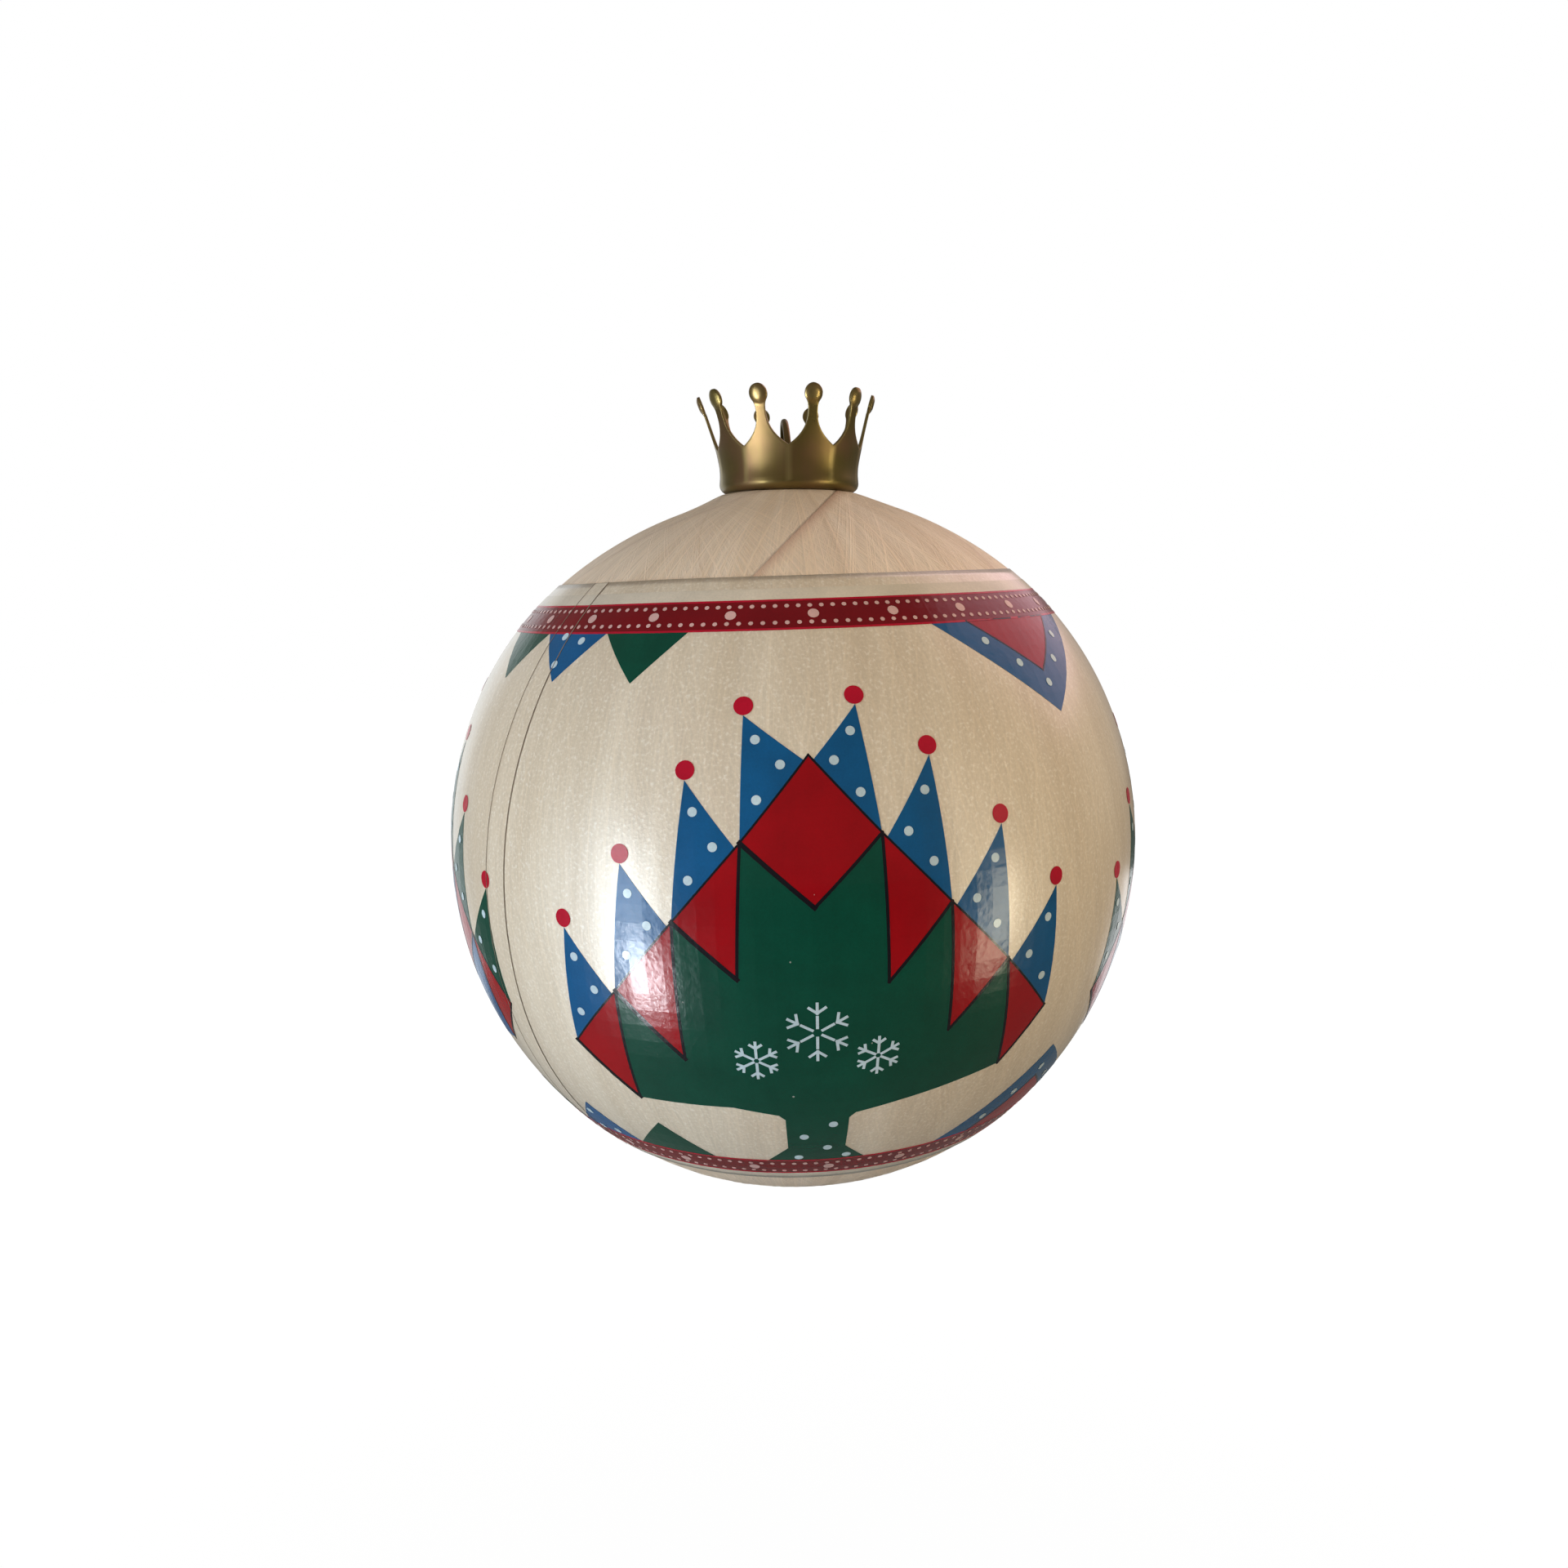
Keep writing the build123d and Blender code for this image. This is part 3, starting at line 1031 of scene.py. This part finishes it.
def triangleDots(dots, corners, spots):
    # spots are shares of the three corners
    for shares in spots:
        pairs = list(zip(shares, corners))
        lon, lat = (sum(share * corner[axis] for share, corner in pairs) for axis in (0, 1))
        discShape(dots, lon, lat, motifSet["dotRadius"])


def outline(lines, corners, widths):
    for start, end, width in zip(corners, corners[1:] + corners[:1], widths):
        strokeShape(lines, start, end, width)


def makeMotif(sheets, centre, pointInk, stairInk, bodyInk):
    # points on a stair at each side, triangles that hang from it, the diamond and the body
    thin, medium, thick = motifSet["lineWidth"], motifSet["sideLine"], motifSet["thickLine"]
    roundOut, roundDown = motifSet["stepRound"]
    for side in (leftSide, rightSide):
        for step in range(4):
            upper, lower = stairPoint(centre, side, step), stairPoint(centre, side, step + 1)
            tip = (lower[0] - side["way"] * side["tipIn"][step], upper[1] + side["tipRise"][step])
            corners = [tip, (upper[0] + side["way"] * roundOut, upper[1] - roundDown), lower]
            polygonShape(sheets[pointInk], corners)
            discShape(sheets["ballDots"], tip[0], tip[1] + motifSet["ballRise"], motifSet["ballRadius"],
                      motifSet["ballSides"])
            triangleDots(sheets["whiteDots"], corners, motifSet["dotSpots"])
            if step == 0:
                continue
            hang = hangingTip(centre, side, step)
            polygonShape(sheets[stairInk], [upper, lower, hang])
            outer = thick if side is leftSide else medium
            outline(sheets["lines"], [upper, lower, hang], (thin, outer, medium))
    bottom = (centre, motifSet["top"] - motifSet["diamondTall"])
    diamond = [stairPoint(centre, leftSide, 0), stairPoint(centre, rightSide, 1), bottom,
               stairPoint(centre, leftSide, 1)]
    polygonShape(sheets[stairInk], diamond)
    outline(sheets["lines"], diamond, (thin, medium, thick, thin))
    makeBody(sheets, centre, bodyInk, bottom)


def makeBody(sheets, centre, bodyInk, bottom):
    # one closed shape under the diamond and the hanging triangles, with a spread foot
    sizes = motifSet
    around = [bottom]
    for side in (rightSide, leftSide):
        half = []
        for step in range(1, 4):
            half += [stairPoint(centre, side, step), hangingTip(centre, side, step)]
        for out, lat in ((sizes["stemHalf"] + sizes["bodyOut"], sizes["bodyLow"]),
                         (sizes["stemHalf"] + sizes["stemRound"], sizes["bodyMiddle"]),
                         (sizes["stemHalf"], sizes["bodyMiddle"] - sizes["stemRound"]),
                         (sizes["stemHalf"], sizes["stemLow"]), (sizes["footHalf"], sizes["stemFoot"])):
            half.append((centre + side["way"] * out, lat))
        around += half if side is rightSide else half[::-1]
    polygonShape(sheets[bodyInk], around)
    for lon, lat in sizes["stemDots"]:
        discShape(sheets["whiteDots"], centre + lon, lat, sizes["dotRadius"])


snowflakeSet = {
    "places": ((-8.6, -19.6, 3.0), (0, -15.2, 4.4), (8.6, -19.6, 3.0)),     # off the motif's middle; size
    "stroke": 0.00028,
    "gaps": (0.18, 0.55, 0.68, 1.0),    # shares of an arm where its two strokes start and end
    "branch": 0.3,
    "branchParts": 3.4,     # of a half turn, between an arm and its branch
}


def makeSnowflake(lines, lon, lat, size):
    # generic six-armed star in broken stencil strokes
    sizes = snowflakeSet
    squeeze = math.cos(math.radians(lat))
    for arm in range(6):
        angle = math.pi / 2 + arm * math.pi / 3
        reach = [(lon + size * share * math.cos(angle) / squeeze, lat + size * share * math.sin(angle))
                 for share in sizes["gaps"]]
        strokeShape(lines, reach[0], reach[1], sizes["stroke"])
        strokeShape(lines, reach[2], reach[3], sizes["stroke"])
        for turn in (-1, 1):
            branch = angle + turn * math.pi / sizes["branchParts"]
            tip = (reach[2][0] + sizes["branch"] * size * math.cos(branch) / squeeze,
                   reach[2][1] + sizes["branch"] * size * math.sin(branch))
            strokeShape(lines, reach[2], tip, sizes["stroke"])


def ringParts():
    # a ring round the ball is drawn in as many parts as it has big dots
    pitch = 360 / ribbonSet["bigDots"]
    return [(-180 + pitch * part, pitch) for part in range(ribbonSet["bigDots"])]


def ringShape(shapes, low, high):
    for lon, wide in ringParts():
        polygonShape(shapes, [(lon, low), (lon + wide, low), (lon + wide, high), (lon, high)])


def makeRibbon(sheets, low, high):
    sizes = ribbonSet
    ringShape(sheets["ribbon"], low, high)
    for lon, pitch in ringParts():
        discShape(sheets["pinkDots"], lon + sizes["bigStart"], (low + high) / 2,
                  sizes["bigRadius"], sizes["bigSides"])
        small = pitch / sizes["smallPerBig"]
        for number in range(sizes["smallPerBig"]):
            for lat in (low + sizes["rowInset"], high - sizes["rowInset"]):
                discShape(sheets["pinkDots"], lon + small * (number + sizes["smallStart"]), lat,
                          sizes["smallRadius"], sizes["smallSides"])


def makeSmallPennants(sheets, centre, edge, way):
    # three in a row; way is -1 where they hang from the ribbon and 1 where they stand on it
    half = pennantSet["smallWide"] / 2
    for number, ink in ((-1, "green"), (0, "blue"), (1, "green")):
        middle = centre + number * pennantSet["smallWide"]
        tip = (middle, edge + way * pennantSet["smallTall"])
        corners = [tip, (middle - half, edge), (middle + half, edge)]
        polygonShape(sheets[ink], corners)
        if ink == "blue":
            triangleDots(sheets["whiteDots"], corners, pennantSet["smallDots"])


def makeBigPennant(sheets, centre, edge, way):
    # a blue chevron with dots round a red triangle
    dots, dotRadius = sheets["whiteDots"], motifSet["dotRadius"]
    half = pennantSet["bigWide"] / 2
    inner = pennantSet["innerWide"] / 2
    tip = (centre, edge + way * pennantSet["bigTall"])
    innerTip = (centre, edge + way * pennantSet["innerTall"])
    for side in (-1, 1):
        arm = [tip, innerTip, (centre + side * inner, edge), (centre + side * half, edge)]
        polygonShape(sheets["blue"], arm)
        for out, height in pennantSet["armDots"]:
            discShape(dots, centre + side * out, edge + way * height, dotRadius)
    discShape(dots, centre, edge + way * pennantSet["tipDot"], dotRadius)
    triangle = [innerTip, (centre - inner, edge), (centre + inner, edge)]
    polygonShape(sheets["red"], triangle)
    outline(sheets["lines"], triangle, (motifSet["lineWidth"],) * 3)


lapSet = {
    "middle": -50.5,        # longitude of the lap's hidden edge at the equator
    "slant": 0.05,          # degrees of longitude for each degree of latitude
    "wide": 5.1,
    "steps": 40,
    "inset": 0.1,           # from the film's own ends, in degrees
    "lineWidth": 0.00013,
    "hiddenShare": 0.6,     # width of the hidden edge's line against the other's
    "lift": 0.000015,
    "lineLift": 0.00001,    # above the dots
}


def lapLine(lat):
    return lapSet["middle"] + lapSet["slant"] * lat


def makeLap(filmMaterial, lineMaterial):
    # the film's overlapped end, and the two cut edges that show along it
    edge = latitudeOf(filmEdge) - lapSet["inset"]
    steps = lapSet["steps"]
    lats = [-edge + 2 * edge * step / steps for step in range(steps + 1)]
    strip, lines = [], []
    for low, high in zip(lats, lats[1:]):
        corners = [(lapLine(low), low), (lapLine(low) + lapSet["wide"], low),
                   (lapLine(high) + lapSet["wide"], high), (lapLine(high), high)]
        polygonShape(strip, corners)
        strokeShape(lines, corners[0], corners[3], lapSet["hiddenShare"] * lapSet["lineWidth"])
        strokeShape(lines, corners[1], corners[2], lapSet["lineWidth"])
    inkPiece("film_lap", strip, [], lapSet["lift"], filmMaterial)
    inkPiece("film_lap_edges", lines, [], printSet["dotLift"] + lapSet["lineLift"], lineMaterial)


def makeBands(sheets):
    # pearl margin outside each ribbon, and the brighter line along each ribbon's edge
    top, bottom = ribbonSet["upper"][1], ribbonSet["lower"][0]
    ringShape(sheets["pearl"], top, top + ribbonSet["margin"])
    ringShape(sheets["pearl"], bottom - ribbonSet["lowMargin"], bottom)
    half = degreesTall(ribbonSet["edgeWidth"])
    for lat in ribbonSet["upper"] + ribbonSet["lower"]:
        ringShape(sheets["crimson"], lat - half, lat + half)


def makePrint(inks):
    sheets = {name: [] for name in ("blue", "red", "green", "ribbon", "pearl", "crimson", "lines",
                                    "marks", "whiteDots", "pinkDots", "ballDots")}
    turn = 360 / motifSet["count"]
    for number in range(motifSet["count"]):
        centre = motifSet["firstCentre"] + turn * number
        pointInk, bodyInk = ("green", "blue") if number % 2 else ("blue", "green")
        makeMotif(sheets, centre, pointInk, "red", bodyInk)
        for lon, lat, size in snowflakeSet["places"]:
            makeSnowflake(sheets["marks"], centre + lon, lat, size)
        makePennants = makeSmallPennants if number % 2 else makeBigPennant
        makePennants(sheets, centre + turn / 2, ribbonSet["upper"][0], -1)
        makePennants(sheets, centre + turn / 2, ribbonSet["lower"][1], 1)
    makeRibbon(sheets, *ribbonSet["upper"])
    makeRibbon(sheets, *ribbonSet["lower"])
    makeBands(sheets)
    lift = printSet["inkLift"]
    for name in ("blue", "red", "green", "ribbon", "pearl"):
        inkPiece("print_" + name, sheets[name], [], lift, inks[name])
    inkPiece("print_ribbon_edges", sheets["crimson"], [], printSet["lineLift"], inks["crimson"])
    inkPiece("print_outlines", sheets["lines"], [], printSet["lineLift"], inks["black"])
    inkPiece("print_snowflakes", sheets["marks"], [], printSet["dotLift"], inks["white"])
    inkPiece("print_white_dots", [], sheets["whiteDots"], printSet["dotLift"], inks["white"])
    inkPiece("print_ribbon_dots", [], sheets["pinkDots"], printSet["dotLift"], inks["pink"])
    inkPiece("print_red_balls", [], sheets["ballDots"], printSet["lineLift"], inks["crimson"])


crownSet = {
    "points": 10,
    "footRadius": 0.00835,
    "corner": 0.0010,
    "height": crownHigh.z - crownLow.z,
    "flare": 0.0019,
    "flareStart": 0.0020,
    "flarePower": 1.3,
    "valley": 0.0048,
    "button": 0.00106,      # radius
    "buttonRise": 0.00030,
    "neck": 0.00056,        # half width
    "collar": 0.00080,      # half width where the neck runs into the button
    "neckDrop": 0.0017,
    "ogee": 2.5,            # how quickly a point narrows above the valley
    "hole": 0.0017,
    "sheet": 0.00035,
    "panel": 0.00015,       # how far each point's wall is flattened between its creases
    "cutRound": 0.00005,    # rounding of the cut edges
    "bent": 0.05,           # the points lean a little to the left, as bent in use
    "columns": 10,          # facets across a point, and the rows of each stretch of the sheet
    "floorRows": 6,
    "cornerRows": 6,
    "wallRows": 8,
    "pointRows": 20,
    "neckRows": 6,
    "buttonRows": 10,
    "collarPower": 2.6,
    "topArc": 45,           # degrees each side of a button's top that the last row spans
    "weld": 0.000003,       # vertices nearer than this are one
    "sliver": 0.000001,
    "sharp": 1.1,           # radians between two faces, past which their edge is rounded
    "handTilt": (0.6, -1.0, 0.8, 1.4, -0.8, 0.4, -1.2, 0.9, -0.5, 1.1),
    "sideTilt": 0.4,        # share of the tilt that also turns a point sideways
    "domeReach": 1.2,       # of a button's dome, in squared button radii
}
# where the crown is painted bright, as rubbed wear and painted highlight
wearAndHighlightSet = {
    "corner": 0.25,         # how far the brass is painted bright, as rubbed wear and painted highlight, at the foot's rounding, along the cut edges and creases, and on the buttons
    "edge": 0.8,            # along the cut edges and creases,
    "button": 0.6,          # and on the buttons
    "pointPower": 12,
    "creasePower": 24,
}


def crownWall(height):
    tip = crownSet["height"] - crownSet["button"]
    share = max(0.0, (height - crownSet["flareStart"]) / (tip - crownSet["flareStart"]))
    return crownSet["footRadius"] + crownSet["flare"] * share ** crownSet["flarePower"]


def crownRows():
    # one row of the sheet each, from the floor's hole to a button: its kind, the radius, angle, height
    # or share that places it, and the point's half width there
    sizes = crownSet
    floorWide = sizes["footRadius"] - sizes["corner"] - sizes["hole"]
    wallHigh = sizes["valley"] - sizes["corner"]
    floor, corner, wall = sizes["floorRows"], sizes["cornerRows"], sizes["wallRows"]
    rows = [("floor", sizes["hole"] + floorWide * step / floor, None) for step in range(floor)]
    rows += [("corner", math.pi / 2 * step / corner, None) for step in range(corner)]
    rows += [("wall", sizes["corner"] + wallHigh * step / wall, None) for step in range(wall)]
    tip = sizes["height"] - sizes["button"]
    neckTop = tip - math.sqrt(sizes["button"] ** 2 - sizes["collar"] ** 2)
    neckLow = tip - sizes["neckDrop"]
    full = math.pi / sizes["points"] * crownWall(sizes["valley"])
    for step in range(sizes["pointRows"]):
        share = step / sizes["pointRows"]
        half = sizes["neck"] + (full - sizes["neck"]) * (1 - share) ** sizes["ogee"]
        rows.append(("wall", sizes["valley"] + (neckLow - sizes["valley"]) * share, half))
    for step in range(sizes["neckRows"]):
        share = step / sizes["neckRows"]
        half = sizes["neck"] + (sizes["collar"] - sizes["neck"]) * share ** sizes["collarPower"]
        rows.append(("wall", neckLow + (neckTop - neckLow) * share, half))
    rows += [("button", step / sizes["buttonRows"], None) for step in range(sizes["buttonRows"] + 1)]
    return rows


def buttonRim(angle):
    # arc and height of a button's outline, round from its lowest point
    radius = crownSet["button"]
    tip = crownSet["height"] - radius
    return Vector((radius * math.sin(angle), tip - radius * math.cos(angle)))


def onButton(across, up):
    # blends the four arcs of a button's outline, so that its faces stay square
    sizes = crownSet
    start, span = math.asin(sizes["collar"] / sizes["button"]), math.radians(sizes["topArc"])
    low, high = buttonRim(start), buttonRim(math.pi - span)
    side = buttonRim(start + up * (math.pi - span - start))
    bottom = Vector((across * low.x, low.y))
    top = buttonRim(math.pi - across * span)
    ruled = bottom.lerp(top, up)
    corner = Vector((across * (low.x + (high.x - low.x) * up), low.y + (high.y - low.y) * up))
    return ruled + Vector((across * side.x, side.y)) - corner


def crownPlace(point, across, row):
    # place of one vertex of the outer skin, and how much it is painted bright, as rubbed wear and painted
    # highlight
    sizes, wearAndHighlight = crownSet, wearAndHighlightSet
    kind, measure, half = row
    pitch = 2 * math.pi / sizes["points"]
    middle = pitch * (point + 0.5)
    rubbedAndHighlit = 0.0
    angle = across * pitch / 2
    if kind == "floor":
        return polar(measure, angle + middle, 0.0), rubbedAndHighlit
    if kind == "corner":
        radius = sizes["footRadius"] - sizes["corner"] * (1 - math.sin(measure))
        return polar(radius, angle + middle, sizes["corner"] * (1 - math.cos(measure))), wearAndHighlight["corner"]
    if kind == "button":
        arc, height = onButton(across, measure)
    else:
        arc, height = (0.0 if half is None else across * half), measure
    wall = crownWall(height)
    if kind == "button" or half is not None:
        angle = arc / wall
        rubbedAndHighlit = wearAndHighlight["edge"] * abs(across) ** wearAndHighlight["pointPower"]
    share = angle / (pitch / 2)
    wall -= sizes["panel"] * (1 - share ** 2) * min(1.0, (height - sizes["corner"]) / sizes["flareStart"])
    if half is None and kind == "wall":
        rubbedAndHighlit = wearAndHighlight["edge"] * abs(across) ** wearAndHighlight["creasePower"]
    tip = sizes["height"] - sizes["button"]
    out = (arc ** 2 + (height - tip) ** 2) / sizes["button"] ** 2
    if out < sizes["domeReach"] and height > sizes["valley"]:
        dome = (sizes["domeReach"] - out) / sizes["domeReach"]
        wall += sizes["buttonRise"] * dome * dome * (3 - 2 * dome)
        rubbedAndHighlit = max(rubbedAndHighlit, wearAndHighlight["button"] * dome)
    lean = math.radians(sizes["handTilt"][point])
    above = max(0.0, height - sizes["valley"])
    wall += math.sin(lean) * above
    angle += sizes["sideTilt"] * math.sin(lean) * above / wall + middle
    place = polar(wall, angle, height)
    place.x -= sizes["bent"] * above
    return place, rubbedAndHighlit


def polar(radius, angle, height):
    return Vector((radius * math.sin(angle), -radius * math.cos(angle), crownLow.z + height))


def inwards(place):
    # direction through the sheet, away from its outer skin
    sizes = crownSet
    height = place.z - crownLow.z
    radius = math.hypot(place.x, place.y)
    out = Vector((place.x, place.y, 0)) / radius
    arcRadius = sizes["footRadius"] - sizes["corner"]
    if height < 0.000001 or radius < arcRadius:
        return Vector((0, 0, 1))
    if height < sizes["corner"]:
        return (out * (arcRadius - radius) + Vector((0, 0, sizes["corner"] - height))).normalized()
    step = 0.00001
    slope = (crownWall(height + step) - crownWall(height)) / step
    return (Vector((0, 0, slope)) - out).normalized()


def makeCrown(material):
    sizes = crownSet
    rows = crownRows()
    bm = bmesh.new()
    rubbedAndHighlitLayer = bm.verts.layers.float.new("rubbedAndHighlit")
    for point in range(sizes["points"]):
        before = set(bm.verts)
        bmesh.ops.create_grid(bm, x_segments=sizes["columns"], y_segments=len(rows) - 1, size=1)
        for vert in [vert for vert in bm.verts if vert not in before]:
            row = rows[round((vert.co.y + 1) / 2 * (len(rows) - 1))]
            vert.co, vert[rubbedAndHighlitLayer] = crownPlace(point, vert.co.x, row)
    bmesh.ops.remove_doubles(bm, verts=bm.verts, dist=sizes["weld"])
    bmesh.ops.recalc_face_normals(bm, faces=bm.faces)
    grown = bmesh.ops.extrude_face_region(bm, geom=bm.faces[:], use_keep_orig=True)["geom"]
    for vert in [item for item in grown if isinstance(item, bmesh.types.BMVert)]:
        vert.co += inwards(vert.co) * sizes["sheet"]
    bmesh.ops.recalc_face_normals(bm, faces=bm.faces)
    rims = [edge for edge in bm.edges if edge.is_manifold and edge.calc_face_angle() > sizes["sharp"]]
    bmesh.ops.bevel(bm, geom=rims, offset=sizes["cutRound"], segments=2, profile=0.5, affect="EDGES",
                    material=-1)
    bmesh.ops.dissolve_degenerate(bm, dist=sizes["sliver"], edges=bm.edges)
    crown = meshObject("crownCap", bm, material, smooth=True)
    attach(crown, "crown")
    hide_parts("crown_cap")


wireSet = {
    "legApart": 0.0012,     # centre to centre
    "overFloor": 0.00006,   # gap between the crown's floor and the wire's shoulders
    "shoulderSlope": 0.35,
    "bendInside": 0.0002,   # inner radius of the bend from a leg to its shoulder
    "eyeFoot": 0.42,        # rounding where the eye begins, as a share of the shoulder's length
    "crest": 0.98,          # share of the eye's half width that its top corners are rounded by
    "eyeTurn": 4.2,         # degrees that the eye is turned from edge on
    "eyeLean": 0.075,       # sideways for each unit of height, as bent in use
    "arcSteps": 10,
    "sides": 16,
}


def roundedRoute(corners, bends, steps):
    # corners joined by straight runs, each inner corner replaced by an arc
    route = [corners[0]]
    for before, corner, after, bend in zip(corners, corners[1:], corners[2:], bends):
        back, on = (before - corner).normalized(), (after - corner).normalized()
        half = back.angle(on) / 2
        middle = corner + (back + on).normalized() * (bend / math.sin(half))
        reach = bend / math.tan(half)
        first, last = corner + back * reach - middle, corner + on * reach - middle
        sweep, axis = first.angle(last), first.cross(last).normalized()
        for step in range(steps + 1):
            route.append(middle + Matrix.Rotation(sweep * step / steps, 3, axis) @ first)
    return route + [corners[-1]]


def makeWire(material):
    sizes = wireSet
    thick = wireHigh.x - wireLow.x
    legY, eyeY = sizes["legApart"] / 2, (wireHigh.y - wireLow.y - thick) / 2
    lift = (thick / 2 + sizes["overFloor"]) * math.sqrt(1 + sizes["shoulderSlope"] ** 2)
    shoulder = crownLow.z + crownSet["sheet"] + lift - sizes["shoulderSlope"] * (crownSet["hole"] - legY)
    spreadZ = shoulder + sizes["shoulderSlope"] * (eyeY - legY)
    half = [Vector((0, legY, wireLow.z)), Vector((0, legY, shoulder)), Vector((0, eyeY, spreadZ)),
            Vector((0, eyeY, wireHigh.z - thick / 2))]
    corners = half + [Vector((0, -corner.y, corner.z)) for corner in reversed(half)]
    bends = [thick / 2 + sizes["bendInside"], sizes["eyeFoot"] * (eyeY - legY), sizes["crest"] * eyeY]
    route = roundedRoute(corners, bends + bends[::-1], sizes["arcSteps"])
    for point in route:
        point.x -= sizes["eyeLean"] * max(0.0, point.z - spreadZ)
    sideways = Vector((1, 0, 0))
    bm = bmesh.new()
    loops = []
    for number, point in enumerate(route):
        ahead = route[min(number + 1, len(route) - 1)] - route[max(number - 1, 0)]
        across = ahead.normalized().cross(sideways)
        ring = []
        for side in range(sizes["sides"]):
            angle = 2 * math.pi * side / sizes["sides"]
            out = sideways * math.cos(angle) + across * math.sin(angle)
            ring.append(bm.verts.new(point + out * thick / 2))
        loops.append([bm.edges.new(pair) for pair in zip(ring, ring[1:] + ring[:1])])
    for first, second in zip(loops, loops[1:]):
        bmesh.ops.bridge_loops(bm, edges=first + second)
    for end in (loops[0], loops[-1]):
        bmesh.ops.contextual_create(bm, geom=end)
    bmesh.ops.recalc_face_normals(bm, faces=bm.faces)
    turn = Matrix.Rotation(math.radians(sizes["eyeTurn"]), 3, "Z")
    bmesh.ops.rotate(bm, verts=bm.verts, cent=(0, 0, 0), matrix=turn)
    wire = meshObject("hangerWire", bm, material, smooth=True)
    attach(wire, "hanger")
    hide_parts("hanger_wire")


bpy.context.scene.view_settings.view_transform = "Standard"
makeCamera()
makeLamps()
makeWorld()
makeFloor()
print("stage: camera, lamps and floor made")

strandGroup = makeStrandGroup()
threadGroup = makeThreadGroup(strandGroup)
threadMaterial = makeThreadMaterial(threadGroup)
filmMaterial = makeFilmMaterial(threadGroup)
speckGroup = makeSpeckGroup()
inks = {name: makeInkMaterial(name, colour, speckGroup) for name, colour in inkColours.items()}
brassGroup = makeBrassGroup()
crownMaterial = makeBrassMaterial("crownBrass", brassGroup, brassSet["crownPattern"])
wireMaterial = makeBrassMaterial("wireBrass", brassGroup, brassSet["wirePattern"])
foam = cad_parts["foam_core"].data
foam.materials.clear()
foam.materials.append(makeFoamMaterial())
print("stage: materials made")

makeWinding(threadMaterial)
makeSleeve(filmMaterial)
print("stage: winding and film made")
makeLap(filmMaterial, inks["seam"])
makePrint(inks)
print("stage: print made")
makeCrown(crownMaterial)
makeWire(wireMaterial)
print("stage: crown and hanger made")
